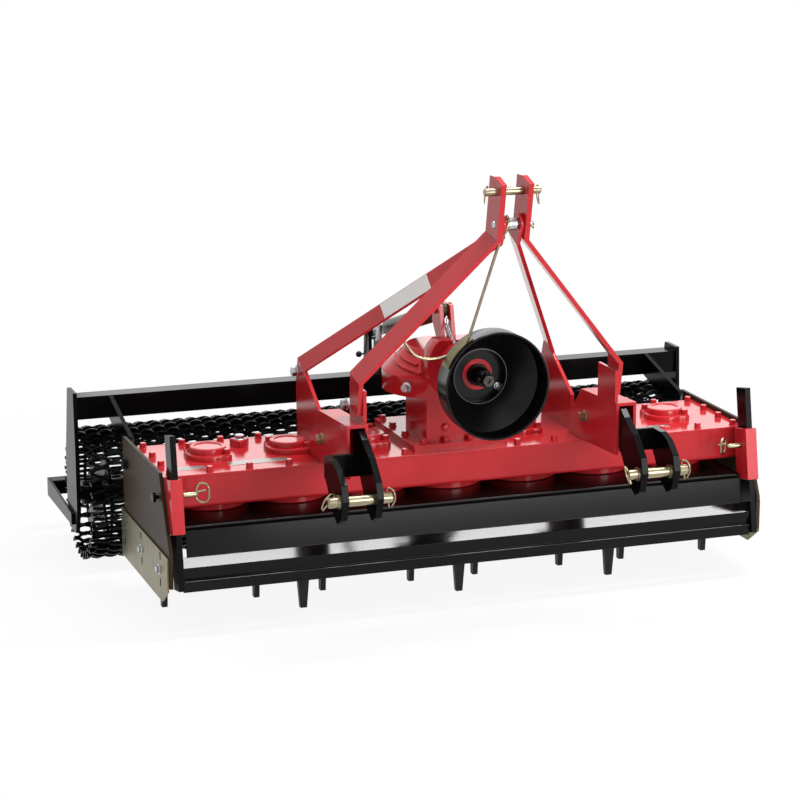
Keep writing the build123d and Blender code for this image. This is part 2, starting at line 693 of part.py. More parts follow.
# Gearbox: a bolted base, a square lower body and a round upper body along the input shaft
with BuildPart() as gearbox_base:
    with BuildSketch(Plane.XY.offset(cover_top_z)):
        with Locations((0, (front(GEARBOX_BASE_FRONT) + rear(GEARBOX_BASE_REAR)) / 2)):
            RectangleRounded(GEARBOX_BASE_W, GEARBOX_BASE_FRONT + GEARBOX_BASE_REAR, 6)
    extrude(amount=GEARBOX_BASE_T)
save(gearbox_base, "gearbox_base")

base_top_z = cover_top_z + GEARBOX_BASE_T
with BuildPart() as gearbox:
    with BuildSketch(Plane.XY.offset(base_top_z)):
        with Locations((0, (front(CASE_FRONT) + rear(CASE_REAR)) / 2)):
            Rectangle(CASE_W, CASE_FRONT + CASE_REAR)
    extrude(amount=PAN_BOTTOM_Z - base_top_z)
    with BuildSketch(Plane.XY.offset(PAN_BOTTOM_Z)):
        with Locations((0, rear(PAN_REAR))):
            Circle(PAN_R)
    extrude(amount=PAN_TOP_Z - PAN_BOTTOM_Z)
    for radius, z in ((PAN_R, PAN_TOP_Z), (CROWN_R, CROWN_TOP_Z)):
        with BuildSketch(Plane.XY.offset(z)):
            with Locations((0, rear(PAN_REAR))):
                Circle(radius)
    loft(ruled=True)
    with BuildSketch(Plane.XZ.offset(-front(FLANGE_REAR))):
        with Locations((0, PTO_Z)):
            Circle(FLANGE_R)
        with Locations((0, FLANGE_FLAT_Z + FLANGE_R / 2)):
            Rectangle(2 * FLANGE_R, FLANGE_R, mode=Mode.SUBTRACT)
    extrude(amount=FLANGE_FRONT - FLANGE_REAR)
    for radius, start, end in (
        (SNOUT_R, FLANGE_FRONT, SNOUT_FRONT - COLLAR_LENGTH),
        (COLLAR_R, SNOUT_FRONT - COLLAR_LENGTH, SNOUT_FRONT),
    ):
        with BuildSketch(Plane.XZ.offset(-front(start))):
            with Locations((0, PTO_Z)):
                Circle(radius)
        extrude(amount=end - start)
    plate(
        JACK_X - JACK_RIB_T / 2,
        JACK_X + JACK_RIB_T / 2,
        [
            (front(FLANGE_REAR + 1), FLANGE_FLAT_Z),
            (front(-PAN_REAR + 1), CROWN_TOP_Z - 1),
            (front(-PAN_REAR + 1), PAN_TOP_Z),
            (front(FLANGE_REAR + 1), PAN_TOP_Z),
        ],
    )
    with BuildSketch(Plane.XZ.offset(-front(SNOUT_FRONT))):
        with Locations((0, PTO_Z)):
            Circle(INPUT_BORE_R + SHAFT_FIT)
    extrude(amount=-INPUT_BORE_DEPTH, mode=Mode.SUBTRACT)
save(gearbox, "gearbox")

# Input shaft: the standard 35 mm end that the tractor's drive shaft slides on
with BuildPart() as input_shaft:
    with BuildSketch(Plane.XZ.offset(-front(INPUT_FRONT))):
        with Locations((0, PTO_Z)):
            Circle(INPUT_R)
    extrude(amount=-(INPUT_FRONT - SNOUT_FRONT))
    with BuildSketch(Plane.XZ.offset(-front(SNOUT_FRONT))):
        with Locations((0, PTO_Z)):
            Circle(INPUT_BORE_R)
    extrude(amount=-(INPUT_BORE_DEPTH - 1))
save(input_shaft, "input_shaft")

# Drive guard: a plastic dish round the input shaft, open at the front, its back on the snout's collar. Its
# round wall, cone and neck are a piece each, flush with one another.
cone_front = SHIELD_FRONT - SHIELD_RIM
cone_rear = cone_front - SHIELD_CONE
inner_rim_r = SHIELD_R - SHIELD_WALL
inner_neck_r = SHIELD_NECK_R - SHIELD_WALL
# name, outline as (distance in front of the rotor line, radius) points
shield_rows = (
    (
        "drive_guard",
        ((cone_front, SHIELD_R), (SHIELD_FRONT, SHIELD_R), (SHIELD_FRONT, inner_rim_r), (cone_front, inner_rim_r)),
    ),
    (
        "guard_cone",
        (
            (cone_rear, SHIELD_NECK_R),
            (cone_front, SHIELD_R),
            (cone_front, inner_rim_r),
            (cone_rear + SHIELD_WALL, inner_neck_r),
            (cone_rear, inner_neck_r),
        ),
    ),
    (
        "guard_neck",
        (
            (SHIELD_REAR, COLLAR_R + SEAT_GAP),
            (SHIELD_REAR, SHIELD_NECK_R),
            (cone_rear, SHIELD_NECK_R),
            (cone_rear, inner_neck_r),
            (SHIELD_REAR + SHIELD_WALL, inner_neck_r),
            (SHIELD_REAR + SHIELD_WALL, COLLAR_R + SEAT_GAP),
        ),
    ),
)
for name, outline in shield_rows:
    with BuildPart() as shield:
        with BuildSketch(Plane.YZ):
            with BuildLine():
                Polyline(*[(front(d), PTO_Z + r) for d, r in outline], close=True)
            make_face()
        revolve(axis=Axis((0, 0, PTO_Z), (0, 1, 0)))
    save(shield, name)

# Jack bracket: two ears on the gearbox that carry the front end of the depth jack
jack_bracket_x = JACK_EYE_T / 2 + 1
with BuildPart() as jack_bracket:
    for low_x, high_x in (
        (JACK_X - jack_bracket_x - 10, JACK_X - jack_bracket_x),
        (JACK_X + jack_bracket_x, JACK_X + jack_bracket_x + 10),
    ):
        plate(
            low_x,
            high_x,
            [
                (front(FLANGE_FRONT - 10), FLANGE_FLAT_Z),
                (front(JACK_FRONT_Y + 30), JACK_FRONT_Z + 20),
                (front(JACK_FRONT_Y - 22), JACK_FRONT_Z + 20),
                (front(JACK_FRONT_Y - 28), JACK_FRONT_Z - 30),
                (front(FLANGE_REAR), FLANGE_FLAT_Z),
            ],
        )
    round_bar(
        JACK_X - jack_bracket_x - 16,
        JACK_X + jack_bracket_x + 16,
        front(JACK_FRONT_Y),
        JACK_FRONT_Z,
        JACK_PIN_R,
    )
save(jack_bracket, "jack_bracket")

# Depth jack: a tube with the nut on the gearbox bracket, and a screw that ends on the roller frame's lug
jack_front = Vector(JACK_X, front(JACK_FRONT_Y), JACK_FRONT_Z)
jack_rear = Vector(JACK_X, rear((BEAM_FRONT + BEAM_REAR) / 2), JACK_LUG_Z)
jack_dir = (jack_rear - jack_front).normalized()
jack_length = (jack_rear - jack_front).length


def jack_plane(distance):
    """Plane across the jack, so far from its front pivot."""
    return Plane(origin=jack_front + jack_dir * distance, x_dir=(1, 0, 0), z_dir=jack_dir)


jack_tube_end = jack_length * 0.74
with BuildPart() as jack_tube:
    round_bar(JACK_X - JACK_EYE_T / 2, JACK_X + JACK_EYE_T / 2, jack_front.Y, jack_front.Z, JACK_EYE_R)
    with BuildSketch(jack_plane(JACK_EYE_R - 4)):
        Rectangle(JACK_EYE_T, 24)
    extrude(amount=30)
    with BuildSketch(jack_plane(JACK_EYE_R + 26)):
        Circle(JACK_TUBE_R)
    extrude(amount=jack_tube_end - JACK_EYE_R - 26)
    with BuildSketch(jack_plane(JACK_EYE_R + 70)):
        Circle(JACK_SCREW_R + SEAT_GAP)
    extrude(amount=jack_length, mode=Mode.SUBTRACT)
    round_bar(JACK_X - 40, JACK_X + 40, jack_front.Y, jack_front.Z, JACK_PIN_R + SHAFT_FIT, Mode.SUBTRACT)
save(jack_tube, "jack_tube")

with BuildPart() as jack_screw:
    with BuildSketch(jack_plane(jack_length * 0.4)):
        Circle(JACK_SCREW_R)
    extrude(amount=jack_length * 0.6 - JACK_EYE_R - JACK_NECK)
    with BuildSketch(jack_plane(jack_length - JACK_EYE_R - JACK_NECK - 6)):
        Rectangle(JACK_EYE_T, JACK_EYE_R)
    extrude(amount=JACK_NECK + 10)
    round_bar(JACK_X - JACK_EYE_T / 2, JACK_X + JACK_EYE_T / 2, jack_rear.Y, jack_rear.Z, JACK_EYE_R)
    round_bar(JACK_X - 40, JACK_X + 40, jack_rear.Y, jack_rear.Z, JACK_PIN_R + JACK_EYE_PLAY, Mode.SUBTRACT)
save(jack_screw, "jack_screw")

# Roller frame: a square beam with the jack's lug, two arms to the side plates and two end plates
with BuildPart() as beam:
    plate(
        -BEAM_X,
        BEAM_X,
        [
            (rear(BEAM_FRONT), BEAM_BOTTOM_Z),
            (rear(BEAM_FRONT), BEAM_TOP_Z),
            (rear(BEAM_REAR), BEAM_TOP_Z),
            (rear(BEAM_REAR), BEAM_BOTTOM_Z),
        ],
    )
    for low_x, high_x in (
        (JACK_X - jack_bracket_x - 10, JACK_X - jack_bracket_x),
        (JACK_X + jack_bracket_x, JACK_X + jack_bracket_x + 10),
    ):
        plate(
            low_x,
            high_x,
            [
                (rear(BEAM_FRONT), BEAM_TOP_Z),
                (jack_rear.Y - 20, JACK_LUG_Z + 16),
                (jack_rear.Y + 20, JACK_LUG_Z + 16),
                (rear(BEAM_REAR), BEAM_TOP_Z),
            ],
        )
    round_bar(
        JACK_X - jack_bracket_x - 16, JACK_X + jack_bracket_x + 16, jack_rear.Y, jack_rear.Z, JACK_PIN_R
    )
save(beam, "roller_beam")

arm_outer = inner_x - ARM_GAP
for side, way in (("left", -1), ("right", 1)):
    low_x, high_x = sorted((way * (arm_outer - ARM_T), way * arm_outer))
    with BuildPart() as arm:
        plate(
            low_x,
            high_x,
            [
                (rear(FRAME_PIVOT_REAR - ARM_EYE_R + 6), FRAME_PIVOT_Z + 14),
                (rear(SIDE_REAR - 20), SIDE_TOP_Z),
                (rear(BEAM_FRONT), BEAM_TOP_Z),
                (rear(BEAM_FRONT), BEAM_BOTTOM_Z),
                (rear(SIDE_REAR + 40), FRAME_PIVOT_Z + 10),
                (rear(FRAME_PIVOT_REAR + 10), FRAME_PIVOT_Z - ARM_EYE_R + 2),
            ],
        )
        round_bar(low_x, high_x, rear(FRAME_PIVOT_REAR), FRAME_PIVOT_Z, ARM_EYE_R)
        pivot_low, pivot_high = sorted((way * (arm_outer - ARM_T - 6), way * (SIDE_X + 12)))
        round_bar(pivot_low, pivot_high, rear(FRAME_PIVOT_REAR), FRAME_PIVOT_Z, FRAME_PIVOT_R)
    save(arm, f"roller_arm_{side}")

    low_x, high_x = sorted((way * BEAM_X, way * (BEAM_X + END_T)))
    with BuildPart() as end_plate:
        plate(
            low_x,
            high_x,
            [
                (rear(BEAM_FRONT - END_RISE / 2), BEAM_TOP_Z + END_RISE),
                (rear(BEAM_REAR + END_RISE), BEAM_TOP_Z + END_RISE),
                (rear(ROLLER_Y + END_REAR_W), END_SHOULDER_Z),
                (rear(ROLLER_Y + END_REAR_W), ROLLER_R - END_WAIST),
                (rear(ROLLER_Y + END_REAR_W - END_FOOT_TAPER), ROLLER_R - END_FOOT),
                (rear(ROLLER_Y - END_FRONT_W + END_FOOT_TAPER), ROLLER_R - END_FOOT),
                (rear(ROLLER_Y - END_FRONT_W), ROLLER_R - END_WAIST),
                (rear(ROLLER_Y - END_FRONT_W), END_SHOULDER_Z),
            ],
        )
        round_bar(low_x - 1, high_x + 1, rear(ROLLER_Y), ROLLER_R, ROLLER_SHAFT_R + SHAFT_FIT, Mode.SUBTRACT)
    save(end_plate, f"roller_end_{side}")

with BuildPart() as scraper:
    scraper_x = BEAM_X + END_T
    for low_x, high_x in ((-scraper_x - SCRAPER_ARM_T, -scraper_x), (scraper_x, scraper_x + SCRAPER_ARM_T)):
        plate(
            low_x,
            high_x,
            [
                (rear(SCRAPER_ARM_FRONT), SCRAPER_ARM_LOW_Z),
                (rear(REAR_REACH), SCRAPER_ARM_LOW_Z),
                (rear(REAR_REACH), SCRAPER_ARM_TOP_Z),
                (rear(SCRAPER_ARM_FRONT), SCRAPER_ARM_TOP_Z - SCRAPER_ARM_RISE),
            ],
        )
    plate(
        -scraper_x,
        scraper_x,
        [
            (rear(REAR_REACH - SCRAPER_BAR_W), SCRAPER_ARM_TOP_Z),
            (rear(REAR_REACH), SCRAPER_ARM_TOP_Z),
            (rear(REAR_REACH), SCRAPER_ARM_LOW_Z),
            (rear(REAR_REACH - SCRAPER_BAR_T), SCRAPER_ARM_LOW_Z),
            (rear(REAR_REACH - SCRAPER_BAR_T), SCRAPER_ARM_TOP_Z - SCRAPER_BAR_T),
            (rear(REAR_REACH - SCRAPER_BAR_W), SCRAPER_ARM_TOP_Z - SCRAPER_BAR_T),
        ],
    )
save(scraper, "scraper_bar")

# Cage roller: wavy bars round five hoops, each on a cross plate on the tube, turning on stub shafts in the end plates
roller_y = rear(ROLLER_Y)
wave_steps = 2 * round(2 * ROLLER_HALF / ROLLER_WAVE_LENGTH)
with BuildPart() as roller:
    round_bar(-ROLLER_HALF, ROLLER_HALF, roller_y, ROLLER_R, ROLLER_TUBE_R)
    round_bar(-BEAM_X - END_T, BEAM_X + END_T, roller_y, ROLLER_R, ROLLER_SHAFT_R)
    for n in range(ROLLER_DISCS):
        disc_x = -ROLLER_HALF + 6 + n * (2 * ROLLER_HALF - 12 - ROLLER_DISC_T) / (ROLLER_DISCS - 1)
        with BuildSketch(Plane.YZ.offset(disc_x)) as cross_plate:
            with Locations((roller_y, ROLLER_R)):
                Circle(ROLLER_R - ROLLER_BAR_DEPTH + 6)
                Circle(ROLLER_R - ROLLER_BAR_DEPTH - ROLLER_HOOP_W, mode=Mode.SUBTRACT)
                Circle(ROLLER_CROSS_HUB_R)
                Rectangle(2 * (ROLLER_R - ROLLER_BAR_DEPTH + 4), ROLLER_CROSS_W)
                Rectangle(ROLLER_CROSS_W, 2 * (ROLLER_R - ROLLER_BAR_DEPTH + 4))
        extrude(cross_plate.sketch, amount=ROLLER_DISC_T)
    for n in range(ROLLER_BARS):
        angle = 360 / ROLLER_BARS * n
        outward = Vector(0, 0, 1).rotate(Axis.X, angle)
        origin = Vector(0, roller_y, ROLLER_R) + outward * (ROLLER_R - ROLLER_BAR_DEPTH)
        waves = [
            (-ROLLER_HALF + 2 * ROLLER_HALF * k / wave_steps, ROLLER_WAVE * (1 if (k + n) % 2 else -1))
            for k in range(wave_steps + 1)
        ]
        with BuildSketch(Plane(origin=origin, x_dir=(1, 0, 0), z_dir=outward)):
            with BuildLine():
                Polyline(
                    *[(x, y - ROLLER_BAR_T / 2) for x, y in waves],
                    *[(x, y + ROLLER_BAR_T / 2) for x, y in reversed(waves)],
                    close=True,
                )
            make_face()
    extrude(amount=ROLLER_BAR_DEPTH)
save(roller, "roller")
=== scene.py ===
"""Looks of a power harrow for a small tractor: red powder-coated trough, hitch and gearbox, black gloss
levelling bar and roller, yellow-passivated small parts. Metres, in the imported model's own frame."""

import json
import math
import bpy
import numpy as np
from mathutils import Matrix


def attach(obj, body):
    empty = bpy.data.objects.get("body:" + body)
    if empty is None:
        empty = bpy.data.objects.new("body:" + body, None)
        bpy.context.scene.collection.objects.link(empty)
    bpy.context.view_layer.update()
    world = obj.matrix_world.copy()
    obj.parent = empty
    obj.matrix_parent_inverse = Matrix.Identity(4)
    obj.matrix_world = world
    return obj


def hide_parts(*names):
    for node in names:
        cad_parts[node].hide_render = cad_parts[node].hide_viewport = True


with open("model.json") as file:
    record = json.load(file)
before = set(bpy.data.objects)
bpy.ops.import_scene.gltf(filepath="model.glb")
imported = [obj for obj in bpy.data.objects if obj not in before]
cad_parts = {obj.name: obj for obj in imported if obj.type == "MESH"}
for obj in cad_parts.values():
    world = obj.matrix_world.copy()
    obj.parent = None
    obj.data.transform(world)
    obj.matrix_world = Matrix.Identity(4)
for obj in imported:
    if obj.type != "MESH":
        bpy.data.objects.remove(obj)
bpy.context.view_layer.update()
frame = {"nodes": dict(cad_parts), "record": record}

# The photograph's viewpoint: a long lens from the front left, a little above the mast's foot. The rotor
# line is 145.5 mm in front of the machine's middle.
rotor_y = -0.1455
camera_place = (-2.3748, -6.4584 + rotor_y, 2.1745)
camera_turn, camera_rise = math.radians(19.2), math.radians(13.6)
camera_data = bpy.data.cameras.new("photo_camera")
camera_data.sensor_width = 36.0
camera_data.lens = 115.5
camera_data.clip_end = 200.0
camera = bpy.data.objects.new("photo_camera", camera_data)
camera.location = camera_place
camera.rotation_euler = (math.pi / 2 - camera_rise, 0.0, -camera_turn)
bpy.context.scene.collection.objects.link(camera)
bpy.context.scene.camera = camera
bpy.context.scene.view_settings.view_transform = "Standard"


# The studio: a paper sweep that camera and mirrors see as pure white away from the machine, and that keeps
# its soft shadow close by; a white surround; soft lamps above, in front, to the right and behind, and a
# narrow strip lamp overhead for the bright lines on folded edges.
def srgb(hex_colour):
    """An sRGB hex value as linear RGBA: each channel c becomes ((c + 0.055) / 1.055) ** 2.4."""
    channels = [int(hex_colour[i : i + 2], 16) / 255 for i in (1, 3, 5)]
    return tuple(c / 12.92 if c <= 0.04045 else ((c + 0.055) / 1.055) ** 2.4 for c in channels) + (1.0,)


def node(tree, kind, settings=None, **links):
    """Adds a shader node, sets its properties and sockets, and links other nodes' outputs to its sockets: _0
    is the first socket, and Base_Color the one with that name."""
    made = tree.nodes.new("ShaderNode" + kind)
    for key, value in (settings or {}).items():
        if isinstance(key, str) and hasattr(made, key):
            setattr(made, key, value)
        else:
            made.inputs[key].default_value = value
    for key, output in links.items():
        socket = made.inputs[int(key[1:])] if key[0] == "_" else made.inputs[key.replace("_", " ")]
        tree.links.new(output, socket)
    return made


def new_material(name):
    """A material without nodes, and its node tree."""
    material = bpy.data.materials.new(name)
    material.use_nodes = True
    material.node_tree.nodes.clear()
    return material, material.node_tree


def seen_ray(tree):
    """1 on camera, glossy and transmission rays, which look at the backdrop, and 0 on the rays that light."""
    light_path = node(tree, "LightPath")
    first = node(tree, "Math", {"operation": "MAXIMUM"}, _0=light_path.outputs["Is Camera Ray"],
                 _1=light_path.outputs["Is Glossy Ray"])
    return node(tree, "Math", {"operation": "MAXIMUM"}, _0=first.outputs[0],
                _1=light_path.outputs["Is Transmission Ray"]).outputs[0]


paper, tree = new_material("white_paper_sweep")
lit = node(tree, "BsdfDiffuse", {"Color": srgb("#F4F4F4")})
place = node(tree, "TexCoord")
away = node(tree, "VectorMath", {"operation": "LENGTH"}, _0=place.outputs["Object"])
# From 0.9 to 2.6 m from the middle, the paper's last tenth of shading gives way to pure white.
lift = node(
    tree,
    "MapRange",
    {"From Min": 0.9, "From Max": 2.6, "To Min": 0.9, "To Max": 1.0},
    Value=away.outputs["Value"],
)
share = node(tree, "Math", {"operation": "MULTIPLY"}, _0=seen_ray(tree), _1=lift.outputs[0])
glow = node(tree, "Emission", {"Color": (1, 1, 1, 1), "Strength": 1.0})
both = node(tree, "MixShader", _0=share.outputs[0], _1=lit.outputs[0], _2=glow.outputs[0])
node(tree, "OutputMaterial", Surface=both.outputs[0])

sweep = bpy.data.meshes.new("paper_sweep")
reach = 60.0
sweep_corners = [(-reach, -reach, 0), (reach, -reach, 0), (reach, reach, 0), (-reach, reach, 0)]
sweep.from_pydata(sweep_corners, [], [(0, 1, 2, 3)])
sweep.materials.append(paper)
floor = bpy.data.objects.new("paper_sweep", sweep)
bpy.context.scene.collection.objects.link(floor)

world = bpy.data.worlds.new("white_surround")
world.use_nodes = True
bpy.context.scene.world = world
tree = world.node_tree
tree.nodes.clear()
soft = node(tree, "Background", {"Color": (1, 1, 1, 1), "Strength": 0.42})
white = node(tree, "Background", {"Color": (1, 1, 1, 1), "Strength": 1.0})
choice = node(tree, "MixShader", _0=seen_ray(tree), _1=soft.outputs[0], _2=white.outputs[0])
node(tree, "OutputWorld", Surface=choice.outputs[0])

# name, place, aim, width, height, watts
lamps = (
    ("top_softbox", (-0.6, -1.2, 4.2), (0.0, 0.0, 0.4), 3.4, 2.6, 20.0),
    ("strip_light", (1.4, -0.35, 4.2), (1.4, -0.35, 0.0), 3.6, 0.28, 175.0),
    ("front_softbox", (2.0, -5.4, 1.5), (0.0, -0.2, 0.5), 2.4, 2.2, 165.0),
    ("right_softbox", (4.2, -1.8, 2.2), (0.2, 0.0, 0.4), 2.0, 2.2, 30.0),
    ("rear_softbox", (2.2, 5.6, 2.3), (0.2, 0.2, 0.5), 4.0, 1.2, 24.0),
)
for name, place, aim, width, height, watts in lamps:
    lamp = bpy.data.lights.new(name, "AREA")
    lamp.shape = "RECTANGLE"
    lamp.size, lamp.size_y, lamp.energy = width, height, watts
    stand = bpy.data.objects.new(name, lamp)
    stand.location = place
    toward = np.subtract(aim, place)
    flat = math.hypot(toward[0], toward[1])
    stand.rotation_euler = (math.atan2(flat, -toward[2]), 0.0, -math.atan2(toward[0], toward[1]))
    bpy.context.scene.collection.objects.link(stand)


# Gear trough and its bolted cover: folded steel in red powder coat, a polyester powder baked to a smooth
# glossy film with a faint orange peel about 3 mm across. It gives a deep red with soft white reflections.
def dress(material, *names, edge=0.0012):
    """Gives CAD nodes a material, and rounds their sharp edges by so many metres so that they catch light. A
    node that is dressed twice is rounded twice."""
    for name in names:
        piece = frame["nodes"][name]
        piece.data.materials.clear()
        piece.data.materials.append(material)
        weld = piece.modifiers.new("one_surface", "WELD")
        weld.merge_threshold = 0.00001
        round_off = piece.modifiers.new("broken_edges", "BEVEL")
        round_off.width = edge
        round_off.segments = 2
        round_off.limit_method = "ANGLE"
        round_off.angle_limit = math.radians(28)
        round_off.harden_normals = True


def nodes_of(slot_name):
    """The names of the CAD nodes whose material slot is slot_name."""
    return [row["node"] for row in frame["record"]["subparts"] if row["material_slot"] == slot_name]


def orange_peel(tree, size_mm, depth_mm):
    """A fine bump: Perlin noise whose cells are size_mm across in object space."""
    place = node(tree, "TexCoord")
    grain = node(tree, "TexNoise", {"Scale": 1000.0 / size_mm, "Detail": 2.0}, Vector=place.outputs["Object"])
    return node(tree, "Bump", {"Strength": 1.0, "Distance": depth_mm / 1000.0}, Height=grain.outputs[0])


def paint(name, colour, shade, roughness, level=0.5, peel=2.5, depth=0.02, cloud_mm=180.0):
    """A film in two close colours that lie in slow clouds cloud_mm across, with an orange peel bump."""
    material, tree = new_material(name)
    place = node(tree, "TexCoord").outputs["Object"]
    cloud = node(tree, "TexNoise", {"Scale": 1000.0 / cloud_mm, "Detail": 4.0}, Vector=place)
    tone = node(tree, "ValToRGB", Fac=cloud.outputs[0])
    tone.color_ramp.elements[0].position, tone.color_ramp.elements[1].position = 0.35, 0.65
    tone.color_ramp.elements[0].color, tone.color_ramp.elements[1].color = srgb(shade), srgb(colour)
    film = orange_peel(tree, peel, depth)
    shader = node(
        tree,
        "BsdfPrincipled",
        {"Roughness": roughness, "Specular IOR Level": level},
        Base_Color=tone.outputs[0],
        Normal=film.outputs[0],
    )
    node(tree, "OutputMaterial", Surface=shader.outputs[0])
    return material


def at(points):
    """Millimetres from the rotor line (x across, y to the rear, z up) as metres in the model's frame."""
    return np.asarray(points, dtype=float) / 1000.0 + (0.0, rotor_y, 0.0)


def add_piece(name, shape, material, body, soft_angle=35, replaces=()):
    """Makes one object of vertices in millimetres and faces, smooth below soft_angle, and mounts it."""
    vertices, faces = shape
    mesh = bpy.data.meshes.new(name)
    mesh.from_pydata(at(vertices).tolist(), [], [list(map(int, face)) for face in faces])
    mesh.materials.append(material)
    mesh.polygons.foreach_set("use_smooth", np.ones(len(mesh.polygons), dtype=bool))
    mesh.set_sharp_from_angle(angle=math.radians(soft_angle))
    piece = bpy.data.objects.new(name, mesh)
    bpy.context.scene.collection.objects.link(piece)
    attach(piece, body)
    if replaces:
        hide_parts(*replaces)


def together(*shapes):
    """Several (vertices, faces) as one, each one's faces counted on from the vertices before it."""
    starts = np.cumsum([0] + [len(vertices) for vertices, faces in shapes])
    vertices = np.concatenate([np.asarray(vertices, dtype=float) for vertices, faces in shapes])
    faces = []
    for start, (_, own_faces) in zip(starts, shapes):
        faces += [tuple(int(i) + int(start) for i in face) for face in own_faces]
    return vertices, faces


def square_to(axis, hint=None):
    """Unit vectors u, v and the axis itself a, with u x v = a."""
    a = np.asarray(axis, dtype=float)
    a = a / np.linalg.norm(a)
    if hint is None:
        hint = (0.0, 0.0, 1.0) if abs(a[2]) < 0.9 else (1.0, 0.0, 0.0)
    u = np.cross(np.asarray(hint, dtype=float), a)
    u = u / np.linalg.norm(u)
    return u, np.cross(a, u), a


def skin(rows, columns, closed_rows=False):
    """Quads over a grid of rows by columns points that is closed round its columns."""
    last = rows if closed_rows else rows - 1
    r, c = np.meshgrid(np.arange(last), np.arange(columns), indexing="ij")
    d, s = (c + 1) % columns, (r + 1) % rows
    quads = np.stack([r * columns + c, r * columns + d, s * columns + d, s * columns + c], axis=-1)
    return [tuple(quad) for quad in quads.reshape(-1, 4)]


def turned(profile, origin, axis, sides=24, turn=0.0, ring=False):
    """A turned solid: origin + d a + r (cos t u + sin t v) for each (d, r) of the profile and each angle t.
    The profile's ends are closed by flat faces, or joined to each other where ring is true."""
    profile = np.asarray(profile, dtype=float)
    u, v, a = square_to(axis)
    t = 2 * np.pi * (np.arange(sides) + turn) / sides
    round_way = np.cos(t)[:, None] * u + np.sin(t)[:, None] * v
    grid = np.asarray(origin) + profile[:, None, :1] * a + profile[:, None, 1:] * round_way
    faces = skin(len(profile), sides, ring)
    if not ring:
        top = (len(profile) - 1) * sides
        faces += [tuple(range(sides - 1, -1, -1)), tuple(range(top, top + sides))]
    return grid.reshape(-1, 3), faces


def scattered(shape, places):
    """Copies of a shape made at the origin, one at each (x, y, z)."""
    vertices, faces = shape
    return together(*[(vertices + np.asarray(place, dtype=float), faces) for place in places])


def hex_bolt(across, height, axis, turn=0.0, flange=1.25):
    """A hexagon head with a chamfered top on its round flange, standing on the origin along axis."""
    r = across / 2 / math.cos(math.pi / 6)
    head = turned([(1.5, r), (height - 1.5, r), (height, r * 0.86)], (0, 0, 0), axis, 6, turn)
    collar = turned([(0, r * flange), (1.0, r * flange), (2.0, r * flange * 0.92)], (0, 0, 0), axis, 20)
    return together(collar, head)


red_powder_coat = paint("red_powder_coat", "#BE2A30", "#B22228", 0.15, level=0.26, peel=3.0, depth=0.025)
dress(red_powder_coat, *nodes_of("red_paint"))

# The rows of bolts leave out what lies under the two hitch boxes and under the gearbox's plate.
cover_z, bolt_step, bolt_line = 407.0, 108.6, 147.0
box_inner, box_outer, plate_front, plate_rear = 340, 420, 100, 150
edge_x = [way * bolt_step * (n + 0.5) for n in range(8) for way in (-1, 1)]
clear_x = [x for x in edge_x if not box_inner < abs(x) < box_outer]
front_row = [(x, -bolt_line, cover_z) for x in clear_x if abs(x) > plate_front]
rear_row = [(x, bolt_line, cover_z) for x in clear_x if abs(x) > plate_rear]
end_rows = [(way * bolt_step * 7.5, y, cover_z) for way in (-1, 1) for y in (-54.0, 41.0)]
cover_bolt = hex_bolt(16, 15, (0, 0, 1), turn=0.3, flange=1.2)
cover_bolts = scattered(cover_bolt, front_row + rear_row + end_rows)
add_piece("cover_bolts", cover_bolts, red_powder_coat, "frame")


# Bearing caps: iron castings over the outer rotors, painted with the trough. Each has a thick flange with
# two bolted lugs, a raised round top with a shallow dish, and a soft cast edge.
def lobed(low_z, high_z, radius, lug_reach, lug_width, edge, centre, sides=96, turn=0.0, lugs=2):
    """A casting whose outline is r(t) = radius + lug_reach * exp(-(d / lug_width)^2), where d is the angle
    to the nearest of its evenly set lugs, taken up from low_z to high_z with an edge rounded off by edge."""
    t = 2 * np.pi * np.arange(sides) / sides
    d = np.abs((t - math.radians(turn) + np.pi / lugs) % (2 * np.pi / lugs) - np.pi / lugs)
    r = radius + lug_reach * np.exp(-((d / lug_width) ** 2))
    bevel = [(high_z - edge, 0.0), (high_z - edge * 0.3, -edge * 0.3), (high_z, -edge)]
    rise = [(low_z, 0.0)] + bevel + [(high_z, -radius * 0.4)]
    outline = np.stack([np.cos(t), np.sin(t)], -1)
    rows = [np.column_stack([(r + inset)[:, None] * outline, np.full(sides, z)]) for z, inset in rise]
    top = (len(rows) - 1) * sides
    faces = skin(len(rows), sides) + [tuple(range(sides - 1, -1, -1)), tuple(range(top, top + sides))]
    return np.concatenate(rows) + np.asarray(centre, dtype=float), faces


rotor_pitch, flange_top, lug_turn, lug_bolt_r = 224.0, 15.0, 131.0, 62.0
cap_flange = lobed(0, flange_top, 61, 15, 0.26, 4, (0, 0, 0), turn=lug_turn)
cap_profile = [(14, 50), (27, 50), (30, 48.5), (31, 45), (31, 38), (28.5, 36), (28.5, 10)]
cap_top = turned(cap_profile, (0, 0, 0), (0, 0, 1), 64)
lug_angles = np.radians([lug_turn, lug_turn + 180])
lug_places = [(lug_bolt_r * math.cos(a), lug_bolt_r * math.sin(a), flange_top) for a in lug_angles]
cap_bolts = scattered(hex_bolt(16, 15, (0, 0, 1), turn=0.1), lug_places)
cap = together(cap_flange, cap_top, cap_bolts)
caps = scattered(cap, [(rotor_pitch * n, 0.0, cover_z) for n in (-3, -2, -1, 1, 2, 3)])
add_piece("cast_bearing_caps", caps, red_powder_coat, "frame", replaces=["bearing_caps"])


